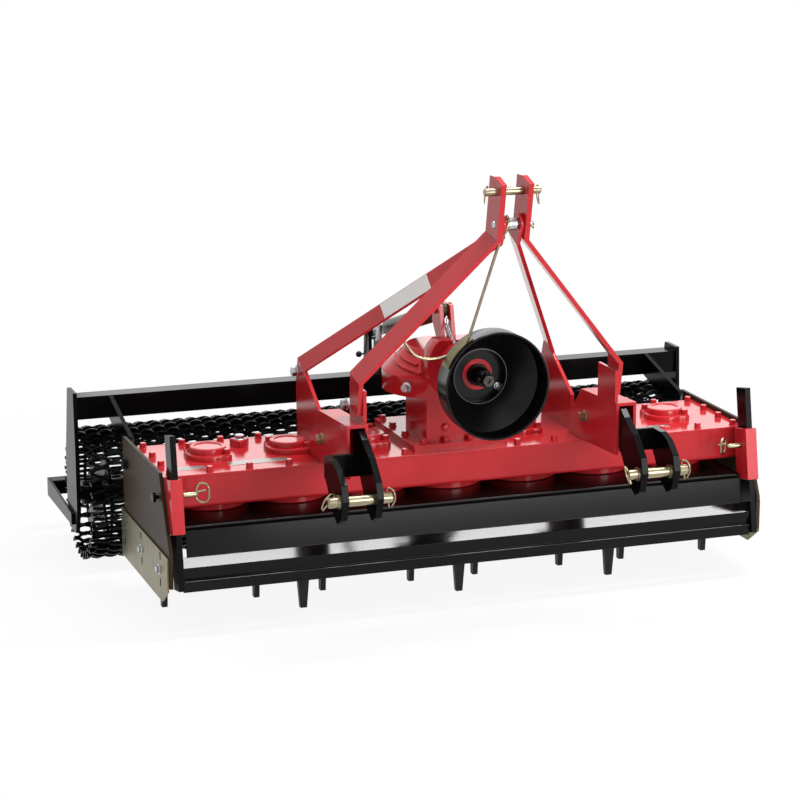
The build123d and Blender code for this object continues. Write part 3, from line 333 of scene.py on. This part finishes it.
# Oil filler: a red boss welded on the cover and a hexagon plug in bright zinc, whose thin blue-white film
# lies on turned steel.
def plated(name, colour, tint, roughness, cloud_mm=9.0):
    """Plated steel: a metal whose colour drifts between two tints in clouds cloud_mm across, with a rolled
    grain 1.4 mm across in its roughness and its bump, drawn coarser than the real one so that it shows."""
    material, tree = new_material(name)
    place = node(tree, "TexCoord").outputs["Object"]
    cloud_look = {"Scale": 1000.0 / cloud_mm, "Detail": 5.0, "Roughness": 0.6}
    cloud = node(tree, "TexNoise", cloud_look, Vector=place)
    tone = node(tree, "ValToRGB", Fac=cloud.outputs[0])
    tone.color_ramp.elements[0].position, tone.color_ramp.elements[1].position = 0.32, 0.68
    tone.color_ramp.elements[0].color, tone.color_ramp.elements[1].color = srgb(tint), srgb(colour)
    grain = node(tree, "TexNoise", {"Scale": 700.0, "Detail": 3.0}, Vector=place)
    rough_range = {"To Min": roughness * 0.75, "To Max": roughness * 1.3}
    rough = node(tree, "MapRange", rough_range, Value=grain.outputs[0])
    film = node(tree, "Bump", {"Strength": 0.25, "Distance": 0.00004}, Height=grain.outputs[0])
    shader = node(
        tree,
        "BsdfPrincipled",
        {"Metallic": 1.0},
        Base_Color=tone.outputs[0],
        Roughness=rough.outputs[0],
        Normal=film.outputs[0],
    )
    node(tree, "OutputMaterial", Surface=shader.outputs[0])
    return material


bright_zinc = plated("bright_zinc_plate", "#C3C6C8", "#A5A9AE", 0.3)
filler_place, boss_height = (-560.0, 84.0, cover_z), 20.0
boss = lobed(0, boss_height, 20, 9, 0.45, 4, filler_place, 48, turn=20, lugs=3)
add_piece("filler_boss", boss, red_powder_coat, "frame")
plug = scattered(hex_bolt(24, 12, (0, 0, 1)), [(filler_place[0], filler_place[1], cover_z + boss_height)])
add_piece("filler_plug", plug, bright_zinc, "frame")

# Bearing housings: round iron castings under the trough in the same red, one over each rotor and nearly
# touching its neighbours, with a broad flange that is bolted to the trough's floor.
housing_profile = [(0, 76), (15.5, 76), (15.5, 103), (18, 106), (42, 106), (44, 104), (44, 28), (0, 28)]
housing = turned(housing_profile, (0, 0, 270), (0, 0, 1), 72, ring=True)
housings = scattered(housing, [(rotor_pitch * n, 0, 0) for n in range(-3, 4)])
add_piece("bearing_housings", housings, red_powder_coat, "frame", replaces=["lower_bearings"])

# Rotors: forged carriers and quenched tines, dipped in dark semi-gloss paint over scale, so their faces are
# slightly uneven.
tine_paint = paint("dark_tine_paint", "#222225", "#1C1C1F", 0.4, level=0.15, peel=5.0, depth=0.12,
                   cloud_mm=40.0)
dress(tine_paint, *["rotor_%d" % n for n in range(1, 8)], edge=0.0015)

# Levelling bar, posts, hitch ears and roller frame: folded and cut plate in black gloss enamel, a thin
# sprayed film with a slight orange peel, nearly black with a dim mirror.
black_enamel = paint("black_gloss_enamel", "#0A0A0B", "#070708", 0.17, level=0.07)
dress(black_enamel, *nodes_of("black_paint"))
# The bar's film is smoother and mirrors more, and the ledge's, which catches the red above it, mirrors most.
bar_enamel = paint("levelling_bar_enamel", "#0B0B0D", "#070708", 0.12, level=0.16, peel=9.0)
dress(bar_enamel, "levelling_bar")
ledge_enamel = paint("ledge_enamel", "#0D0909", "#080606", 0.16, level=0.5, peel=6.0)
dress(ledge_enamel, "stone_guard")

# Side plates: cut steel sheet in the same enamel, a little duller and brown-grey, in two tones in broad
# clouds. A round steel knob is screwed to the left one.
side_enamel = paint("black_satin_enamel", "#43372B", "#3A2F25", 0.3, level=0.03, cloud_mm=300.0)
dress(side_enamel, "side_plate_left", "side_plate_right")
knob_profile = [(0, 5), (6, 5), (6, 11), (8, 13), (14, 13), (16, 11)]
knob = turned(knob_profile, (-848.6, -154, 352), (-1, 0, 0), 20)
add_piece("side_plate_knob", knob, black_enamel, "frame")

# Deflectors and small steel parts: yellow chromate over zinc, gold with greenish and rosy clouds a few
# centimetres across. Each deflector hangs on two zinc bolts in upright slots.
yellow_zinc = plated("yellow_zinc_passivate", "#857A52", "#64654F", 0.32, cloud_mm=45.0)
dress(yellow_zinc, "deflector_left", "deflector_right")
pin_zinc = plated("yellow_zinc_pin", "#A89C7E", "#8F8670", 0.26, cloud_mm=25.0)
dress(pin_zinc, "hitch_pin_left", "hitch_pin_right", "top_pin")
dress(bright_zinc, *nodes_of("white_zinc"))
deflector_face = 853.6
for side, way in (("left", -1), ("right", 1)):
    heads = [scattered(hex_bolt(17, 9, (way, 0, 0), flange=1.5), [(way * deflector_face, y, z)])
             for y, z in ((-167, 160), (33, 157))]
    add_piece("deflector_bolts_" + side, together(*heads), bright_zinc, "frame")


# Slots beside the bolts: pressed upright through the deflector's plate, with round ends. Each is drawn as a
# dull dark insert level with the plate's face, a painted shadow in place of the open slot.
def slab(outline, along):
    """A plate: a closed outline of (x, y, z) points carried along a vector."""
    outline, along = np.asarray(outline, dtype=float), np.asarray(along, dtype=float)
    if np.cross(outline, np.roll(outline, -1, axis=0)).sum(axis=0) @ along < 0:
        outline = outline[::-1]
    count = len(outline)
    i = np.arange(count)
    walls = np.stack([i, (i + 1) % count, (i + 1) % count + count, i + count], axis=-1)
    ends = [tuple(range(count - 1, -1, -1)), tuple(range(count, 2 * count))]
    return np.concatenate([outline, outline + along]), ends + [tuple(wall) for wall in walls]


def oval(centre, across, up, half_width, half_height, steps=8):
    """An upright slot's outline: straight sides and half round ends, in the plane of two unit vectors."""
    t = np.pi * np.arange(steps + 1) / steps
    top = np.stack([half_width * np.cos(t), half_height - half_width + half_width * np.sin(t)], -1)
    ring = np.concatenate([top, -top])
    return np.asarray(centre) + ring[:, :1] * np.asarray(across) + ring[:, 1:] * np.asarray(up)


slot_shadow = paint("slot_shadow", "#0B0A09", "#060606", 0.7, level=0.1)
slot_places = ((-182, 200), (-181, 128), (29, 196), (25, 126), (217, 127))
for side, way in (("left", -1), ("right", 1)):
    slot_x = way * (deflector_face - 0.8)
    outlines = [oval((slot_x, y, z), (0, 1, 0), (0, 0, 1), 4.0, 11.0) for y, z in slot_places]
    slots = [slab(outline, (way * 1.1, 0, 0)) for outline in outlines]
    add_piece("deflector_slots_" + side, together(*slots), slot_shadow, "frame")


# Pins of the levelling bar: a yellow-passivated steel pin through each guide, with a bent wire ring on its
# end and a cotter through it.
def tube(path, radius, sides=10, closed=False, hint=(0.13, 0.29, 0.95)):
    """A round rod along a path: a circle of the radius stands square to the path at each of its points, on
    vectors u and v where u is square to the path and to hint."""
    path = np.asarray(path, dtype=float)
    ahead = np.roll(path, -1, axis=0) - np.roll(path, 1, axis=0)
    if not closed:
        ahead[0], ahead[-1] = path[1] - path[0], path[-1] - path[-2]
    a = ahead / np.linalg.norm(ahead, axis=1, keepdims=True)
    u = np.cross(np.asarray(hint, dtype=float), a)
    u = u / np.linalg.norm(u, axis=1, keepdims=True)
    v = np.cross(a, u)
    t = 2 * np.pi * np.arange(sides) / sides
    grid = path[:, None] + radius * (np.cos(t)[:, None] * u[:, None] + np.sin(t)[:, None] * v[:, None])
    faces = skin(len(path), sides, closed)
    if not closed:
        top = (len(path) - 1) * sides
        faces += [tuple(range(sides - 1, -1, -1)), tuple(range(top, top + sides))]
    return grid.reshape(-1, 3), faces


def curve(points, steps=6):
    """A smooth path through points: Catmull-Rom, whose tangent at each point is half the way from the point
    before it to the point after."""
    points = np.asarray(points, dtype=float)
    padded = np.concatenate([[2 * points[0] - points[1]], points, [2 * points[-1] - points[-2]]])
    p0, p1, p2, p3 = padded[:-3, None], padded[1:-2, None], padded[2:-1, None], padded[3:, None]
    t = (np.arange(steps) / steps)[None, :, None]
    square_term, cube_term = 2 * p0 - 5 * p1 + 4 * p2 - p3, 3 * p1 - p0 - 3 * p2 + p3
    run = 0.5 * (2 * p1 + (p2 - p0) * t + square_term * t**2 + cube_term * t**3)
    return np.concatenate([run.reshape(-1, 3), points[-1:]])


# side, x of the pin's outer end, the ring's middle (x, y, z), its direction across (x, y), its half height
ring_pins = (
    ("left", -792.0, (-746.0, -221.0, 372.0), (0.94, -0.34), 26),
    ("right", 800.0, (750.0, -221.0, 369.0), (-0.75, -0.66), 22),
)
ring_half_width = 17
for side, guide_x, middle, (across_x, across_y), ring_half_height in ring_pins:
    inward = -math.copysign(1.0, guide_x)
    ring = oval(middle, (across_x, across_y, 0.0), (0, 0, 1), ring_half_width, ring_half_height, 10)
    reach_in = abs(middle[0] - inward * ring_half_width - guide_x)
    shank = turned([(-6, 7), (0, 7), (reach_in - 2, 7), (reach_in + 4, 4)],
                   (guide_x, middle[1], middle[2] - 2), (inward, 0, 0), 16)
    cotter = tube([np.add(middle, (-12, 6, 2)), np.add(middle, (10, 2, 6))], 3.0, 8)
    pin = together(tube(ring, 3.2, 10, closed=True), shank, cotter)
    add_piece("levelling_pin_" + side, pin, pin_zinc, "frame")


# Spring clips through the ends of the lower and upper hitch pins: bent spring wire, yellow-passivated like
# the pins. Turned shoulders on the lower pins bear against the ears.
def spring_clip(place, down, outward, leg, bow, wire):
    """A wire clip: a straight leg through the pin at place, and a bow that springs back from its top to its
    foot on the outward side. Each bend is a share of the leg along it and a share of the bow outwards."""
    place, down, outward = (np.asarray(row, dtype=float) for row in (place, down, outward))
    down, outward = down / np.linalg.norm(down), outward / np.linalg.norm(outward)
    bends = ((0.55, 0.0), (-0.35, 0.0), (-0.52, 0.12), (-0.55, 0.45), (-0.4, 0.85), (-0.1, 1.0), (0.2, 0.85),
             (0.5, 0.35))
    route = [place + along * leg * down + off * bow * outward for along, off in bends]
    return tube(curve(route, 4), wire, 8)


lower_ends = (
    ((-495.0, -515.0, 399.0), (-0.7, -0.1, -0.7), (-0.6, -0.4, 0.6)),
    ((-338.0, -515.0, 399.0), (0.1, -0.1, -1), (1, -0.3, 0)),
    ((330.0, -515.0, 399.0), (0.25, -0.2, -1), (-0.6, -0.8, 0)),
    ((487.0, -515.0, 399.0), (0.2, -0.1, -1), (1, -0.4, 0.2)),
)
clips = [spring_clip(place, down, outward, 46, 19, 2.3) for place, down, outward in lower_ends]
add_piece("lower_pin_clips", together(*clips), pin_zinc, "frame")
shoulder_x = (-468.2, 357.0, 449.3)
shoulders = [turned([(0, 19), (4, 19), (5, 17.5)], (x, -515, 399), (-1, 0, 0), 32) for x in shoulder_x]
add_piece("lower_pin_shoulders", together(*shoulders), pin_zinc, "frame")
upper_ends = (
    ((-70.0, -500.0, 1158.0), (-0.2, -0.1, -1), (-0.8, -0.6, 0.2), 42),
    ((71.0, -500.0, 1154.0), (0.05, -0.1, -1), (-0.8, -0.6, 0), 46),
    ((53.0, -486.0, 1078.0), (0.45, -0.4, -0.6), (0.7, -0.5, 0.4), 30),
)
clips = [spring_clip(place, down, outward, leg, 9, 1.8) for place, down, outward, leg in upper_ends]
add_piece("upper_pin_clips", together(*clips), pin_zinc, "frame")

# Second pin: a turned steel bar across the fork, in bright zinc like the filler plug, with a wider spacer
# tube on its middle.
spacer_profile = [(-46, 9), (-44, 10), (-14, 10), (-14, 16), (14, 16), (14, 10), (56, 10), (58, 8.5)]
spacer = turned(spacer_profile, (0, -486, 1080), (1, 0, 0), 32)
add_piece("spacer_pin", spacer, bright_zinc, "frame", replaces=["second_pin"])

# Gearbox: a grey iron casting in the same red. Bolts hold its base plate; three cast ribs run round its
# crown; a bright zinc level plug stands on the crown's left side and a domed red plug on its front, low down.
base_top = 425.0
bolt_places = [(x, y, base_top) for x in (-118.0, 118.0) for y in (-20.0, 85.0, 172.0)]
bolt_places += [(x, -122.0, base_top) for x in (-101.0, -35.0, 35.0, 101.0)]
base_bolts = scattered(hex_bolt(17, 12, (0, 0, 1), turn=0.2), bolt_places)
add_piece("gearbox_bolts", base_bolts, red_powder_coat, "frame")
front_plug = turned([(0, 11), (4, 11), (7, 9), (8.5, 5)], (-34, -110, 462), (0, -1, 0), 24)
add_piece("gearbox_front_plug", front_plug, red_powder_coat, "frame")
plug_place, plug_axis = np.array([-131.0, -74.5, 572.0]), np.array([-0.8, -0.6, 0.0])
level_plug = together(
    turned([(0, 15), (3, 15), (3.5, 14)], plug_place, plug_axis, 24),
    scattered(hex_bolt(19, 15, plug_axis, flange=1.0), [plug_place + 3 * plug_axis]),
)
add_piece("gearbox_level_plug", level_plug, bright_zinc, "frame")
crown_x, crown_y, crown_tip = -3, 16, 758


def crown_rib(start_angle, start_z, end_angle, end_z, steps=14):
    """A half-sunk cast rib up the crown's cone, whose radius at height z is crown_tip - z about its axis."""
    share = np.arange(steps) / (steps - 1)
    angle = np.radians(start_angle + (end_angle - start_angle) * share)
    z = start_z + (end_z - start_z) * share
    r = crown_tip - z
    return tube(np.stack([crown_x + r * np.cos(angle), crown_y + r * np.sin(angle), z], -1), 5.0, 10)


ribs = [crown_rib(-131, 611, -202, 636), crown_rib(-139, 630, -202, 650), crown_rib(-143, 652, -196, 662)]
add_piece("gearbox_crown_ribs", together(*ribs), red_powder_coat, "frame")

# Input shaft: six splines milled on a 35 mm steel bar, with a locking groove and a centre hole. It is bare
# under a film of old oil, which makes the metal dull and dark.
machined_steel = plated("machined_steel", "#4A4543", "#37332F", 0.4)
pto_z, tip, tooth_r, root_r, groove_r, tooth_half = 640.0, 348.0, 17.4, 14.6, 14.2, 4.35
half_tip, half_root = math.asin(tooth_half / tooth_r), math.asin(tooth_half / root_r)
tooth_line = [(-half_root, root_r), (-half_tip, tooth_r), (-half_tip * 0.4, tooth_r),
              (half_tip * 0.4, tooth_r), (half_tip, tooth_r), (half_root, root_r), (math.pi / 6, root_r)]
spline_angle = np.array([turn + math.pi / 3 * n for n in range(6) for turn, r in tooth_line])
spline_r = np.array([r for n in range(6) for turn, r in tooth_line])
# distance in front of the rotor line, the most that the radius is there
shaft_rows = ((250, tooth_r), (318.5, tooth_r), (320, groove_r), (327, groove_r), (328.5, tooth_r),
              (345, tooth_r), (tip, 15.2), (tip, 5.5), (tip - 6, 4.5))
rows = [
    np.stack([np.minimum(spline_r, most) * np.cos(spline_angle), np.full(len(spline_r), -distance),
              np.minimum(spline_r, most) * np.sin(spline_angle) + pto_z], -1)
    for distance, most in shaft_rows
]
count = len(spline_r)
last = (len(rows) - 1) * count
shaft_faces = skin(len(rows), count) + [tuple(range(count - 1, -1, -1)), tuple(range(last, last + count))]
add_piece("splined_shaft", (np.concatenate(rows), shaft_faces), machined_steel, "input_shaft",
          replaces=["input_shaft"])

# Drive guard: a blow-moulded polyethylene bell, black and slightly waxy, with a rolled rim and a bead where
# its cone meets the neck, painted lighter grey and glossier than the bell as a painted highlight. A black
# sleeve turns with the shaft inside it, and an oil seal closes the hole round the shaft.
guard_plastic = paint("black_polyethylene", "#0B0B0D", "#070708", 0.26, level=0.2, peel=1.2, depth=0.01)
rim = [(345, 143), (409, 143), (413, 144.5), (415.5, 143), (415.5, 140), (413, 138), (345, 138)]
neck = [(285, 75), (285.5, 72), (282, 71), (279, 73), (259, 73), (259, 42.3), (254, 42.3), (254, 78),
        (278, 78)]
add_piece("guard_bell", turned(rim + neck, (0, 0, pto_z), (0, -1, 0), 96, ring=True), guard_plastic, "frame",
          soft_angle=32, replaces=["drive_guard", "guard_cone", "guard_neck"])
shaft_sleeve = turned([(203, 24), (309, 24), (312, 22), (312, 17)], (0, 0, pto_z), (0, -1, 0), 40)
add_piece("shaft_sleeve", shaft_sleeve, guard_plastic, "input_shaft")
bead_r, bead_y, arc = 74.5, -284.5, 2 * np.pi * np.arange(96) / 96
bead_ring = np.stack([bead_r * np.cos(arc), 0 * arc + bead_y, bead_r * np.sin(arc) + pto_z], -1)
# The bead's lighter grey and strong mirror are a painted highlight on the edge.
bead_highlight_paint = paint("bead_painted_highlight", "#3A3B40", "#303136", 0.12, level=0.9)
add_piece("guard_bead", tube(bead_ring, 1.5, 6, True, (0, 1, 0.01)), bead_highlight_paint, "frame")
seal_profile = [(255, 30), (266, 30), (268, 28), (268, 24.3), (255, 24.3)]
seal = turned(seal_profile, (0, 0, pto_z), (0, -1, 0), 40, ring=True)
add_piece("shaft_seal", seal, guard_plastic, "frame")

# Strap of the guard: yellow-passivated sheet bent round the bell's upper left, and a bright zinc screw in
# the floor of its neck.
strap_angles = np.radians(np.linspace(117, 158, 14))
strap_ring = np.concatenate([np.stack([r * np.cos(a), 0 * a, r * np.sin(a) + pto_z], -1)
                             for r, a in ((143.6, strap_angles), (146.2, strap_angles[::-1]))])
strap = slab(strap_ring + (0, -404, 0), (0, 48, 0))
add_piece("guard_strap", strap, yellow_zinc, "frame")
guard_screw = scattered(hex_bolt(13, 7, (0, -1, 0), flange=1.4), [(58, -259.5, 604)])
add_piece("guard_screw", guard_screw, bright_zinc, "frame")

# Rest for the drive shaft: a yellow-passivated steel rod that hooks over the second pin, comes down to the
# guard's side and turns up again in a wide J.
rest_route = [(-10, -468, 1038), (-9, -464, 1062), (-8, -467, 1085), (-9, -484, 1100), (-12, -503, 1090),
              (-18, -506, 1066), (-28, -490, 1038), (-53, -445, 905), (-79, -400, 770), (-90, -372, 742),
              (-106, -352, 722), (-139, -350, 713), (-174, -350, 713), (-208, -350, 727), (-231, -350, 756),
              (-250, -350, 785), (-268, -350, 797)]
rest = tube(curve(rest_route), 4.0, 12, hint=(0.35, 0.92, 0.2))
add_piece("shaft_rest", rest, pin_zinc, "frame")


# Chain of the jack's pin: short welded links of 2.5 mm zinc wire, each turned a quarter from the last, that
# sag between the jack's pin and the guard's strap. The pin has an upright grip with a wire ring.
def chain(route, pitch, wire):
    """Links set pitch apart along a route: each is an oval ring of wire on the route's direction."""
    line = curve(route, 12)
    travelled = np.concatenate([[0], np.cumsum(np.linalg.norm(np.diff(line, axis=0), axis=1))])
    marks = np.arange(0, travelled[-1], pitch)
    points = np.stack([np.interp(marks, travelled, line[:, k]) for k in range(3)], -1)
    links = []
    for n, (start, end) in enumerate(zip(points[:-1], points[1:])):
        u, v, a = square_to(end - start, (0.3, 0.2, 1))
        across = u if n % 2 else v
        links.append(tube(oval((start + end) / 2, across, a, 3.6, pitch / 2 + wire * 1.6, 5), wire, 6, True,
                          np.cross(a, across)))
    return together(*links)


chain_route = [(-38, -124, 772), (-44, -150, 752), (-50, -200, 731), (-60, -270, 722), (-80, -340, 736)]
add_piece("pin_chain", chain(chain_route, 11.0, 1.25), bright_zinc, "frame")
grip = together(
    turned([(0, 5), (44, 5), (46, 4)], (-30, -92, 756), (0, 0, 1), 14),
    tube(oval((-18, -96, 793), (0.9, -0.3, 0.2), (0, 0, 1), 9, 10, 8), 1.6, 8, True, (0.3, 0.9, 0)),
)
add_piece("jack_pin_grip", grip, pin_zinc, "frame")

# Depth jack: a drawn tube in olive-grey gloss over a zinc screw, with a zinc sleeve beside the tube's
# rear end that carries the wire crank and its black ball.
olive_gloss = paint("olive_grey_gloss", "#4C4A38", "#403F30", 0.26, level=0.1, cloud_mm=90.0)
dress(olive_gloss, *nodes_of("olive_paint"))
jack_sleeve = turned([(0, 11), (5, 11), (6, 8.5), (42, 8.5), (46, 7)], (-69, 344, 613), (0, 0, 1), 24)
add_piece("jack_sleeve", jack_sleeve, bright_zinc, "jack_tube")
crank_route = [(-69, 344, 652), (-70, 346, 664), (-82, 356, 668), (-93, 368, 658), (-95, 373, 642),
               (-95, 390, 578), (-96, 392, 569), (-99, 393, 566), (-108, 394, 565)]
crank = tube(curve(crank_route, 5), 2.6, 8, hint=(0.4, 0.9, 0.1))
add_piece("jack_crank", crank, machined_steel, "jack_tube")
ball_arc = np.radians(np.linspace(8, 172, 11))
ball = turned(np.stack([-9 * np.cos(ball_arc), 9 * np.sin(ball_arc)], -1), (-114, 394, 565), (-1, 0, 0), 20)
add_piece("jack_crank_ball", ball, guard_plastic, "jack_tube")

# Bolts of the mast: hexagon heads on round flanges, in yellow passivate on the sides of the hitch boxes and
# in bright zinc at the feet of the struts and braces.
box_bolts = (((-406.0, -177.0, 477.0), (-1, 0, 0)), ((348.0, -178.0, 477.0), (-1, 0, 0)))
strut_bolts = (
    ((-371.0, -285.0, 594.0), (-1, 0, 0)),
    ((-372.0, 160.0, 585.0), (-1, 0, 0)),
    ((371.0, -285.0, 594.0), (1, 0, 0)),
    ((372.0, 160.0, 585.0), (1, 0, 0)),
)
for name, rows, metal, slot in (("box_bolts", box_bolts, pin_zinc, "yellow_zinc"),
                                ("strut_bolts", strut_bolts, bright_zinc, "white_zinc")):
    heads = [scattered(hex_bolt(24, 16, axis, flange=1.2), [place]) for place, axis in rows]
    add_piece(name, together(*heads), metal, "frame")

# Blank film label on the left brace, and three bare data plates of thin zinc on the cover. The label is
# stuck on the brace's outer face, from 44 to 68% of its length and nearly as wide as the brace.
label_film = paint("white_film", "#DEDDDB", "#D5D4D2", 0.35, level=0.4, cloud_mm=400.0)
brace_foot = np.array([-371.7, 94.6, 598.1])
brace_run, brace_width = np.array([342.0, -580.0, 428.0]), np.array([0.0, 60.8, 25.8])
outward = np.array([-0.876, -0.189, 0.444])
label_corners = [brace_foot + along * brace_run + across * brace_width + 0.1 * outward
                 for along, across in ((0.436, 0.04), (0.672, 0.04), (0.684, 0.96), (0.446, 0.96))]
add_piece("brace_label", slab(label_corners, 0.5 * outward), label_film, "frame")
plate_zinc = plated("plate_zinc", "#B9B6B2", "#A7A4A1", 0.35, cloud_mm=60.0)
plate_boxes = ((-642, -478, -110, -72), (-792, -706, -116, -84), (582, 640, -108, -80))
low, upward = cover_z + 0.1, (0, 0, 0.8)
plates = [slab([(x0, y0, low), (x1, y0, low), (x1, y1, low), (x0, y1, low)], upward)
          for x0, x1, y0, y1 in plate_boxes]
add_piece("data_plates", together(*plates), plate_zinc, "frame")

# Cage roller: expanded steel mesh rolled up and welded on five hooped crosses over a tube, all in black
# enamel. 72 strands zigzag along the axis, each in step against its neighbours, so that they meet in flat
# knots and leave 36 diamonds round and 24 along. Each strand also stands up where it swings one way.
roller_y, roller_r, roller_half, strands, diamonds = 515.0, 192.0, 919.0, 72, 24
strand_w, strand_depth, strand_rise = 8.5, 12.0, 7.0
steps_each, ramp = 6, 0.55
stations = diamonds * steps_each + 1
x_line = np.linspace(-roller_half, roller_half, stations)
phase = (np.arange(stations) / steps_each) % 1.0
# A strand crosses over in the share ramp of each half diamond, and lies flat in a knot for the rest.
zigzag = np.clip((1 - 4 * np.abs(phase - 0.5)) / ramp, -1, 1)
swing = (2 * np.pi * (roller_r - strand_depth / 2) / strands - strand_w) / 2
n_line = np.arange(strands)
to_and_fro = np.where(n_line % 2, 1, -1)[:, None] * zigzag
middle_angle = 2 * np.pi * n_line[:, None] / strands + to_and_fro * swing / roller_r
# corners of a strand's section: (across, down from the outside), round on its outer side
section = np.array([(-0.5, 3.5), (-0.28, 0.6), (0.28, 0.6), (0.5, 3.5), (0.4, strand_depth),
                    (-0.4, strand_depth)])
corner_angle = middle_angle[..., None] + section[:, 0] * strand_w / roller_r
corner_r = roller_r - section[:, 1] - strand_rise * (1 - to_and_fro[..., None])
mesh_x = np.broadcast_to(x_line[None, :, None], corner_angle.shape)
mesh_y = roller_y + corner_r * np.sin(corner_angle)
mesh_z = roller_r + corner_r * np.cos(corner_angle)
mesh_points = np.stack([mesh_x, mesh_y, mesh_z], -1)
count = len(section)
one_strand = skin(stations, count)
one_strand += [tuple(range(count - 1, -1, -1)), tuple(range((stations - 1) * count, stations * count))]
cage = together(*[(points.reshape(-1, 3), one_strand) for points in mesh_points])
hub_r, arm_half, arm_end, cross_thick, hoop_r, hoop_inner = 62.0, 20.0, 172.0, 8, 178, 168
corner, diagonal = math.sqrt(hub_r**2 - arm_half**2), hub_r * math.sqrt(0.5)
quarter = np.array([(arm_end, -arm_half), (arm_end, arm_half), (corner, arm_half), (diagonal, diagonal)])
cross = np.concatenate([quarter @ np.array([[math.cos(a), math.sin(a)], [-math.sin(a), math.cos(a)]])
                        for a in np.pi / 2 * (np.arange(4) + 0.5)])
cross_x = [-866.0, -453.0, -4.0, 445.0, 858.0]
crosses = [slab(np.insert(cross + (roller_y, roller_r), 0, x, axis=1), (cross_thick, 0, 0)) for x in cross_x]
hoop_profile = [(0, hoop_r), (cross_thick, hoop_r), (cross_thick, hoop_inner), (0, hoop_inner)]
hoops = [turned(hoop_profile, (x, roller_y, roller_r), (1, 0, 0), 96, ring=True) for x in cross_x]
axle_profile = [(0, 20), (29, 20), (29, 34), (1845, 34), (1845, 20), (1874, 20)]
axle = turned(axle_profile, (-937, roller_y, roller_r), (1, 0, 0), 40)
roller = together(cage, axle, *crosses, *hoops)
add_piece("cage_roller", roller, black_enamel, "roller", replaces=["roller"])
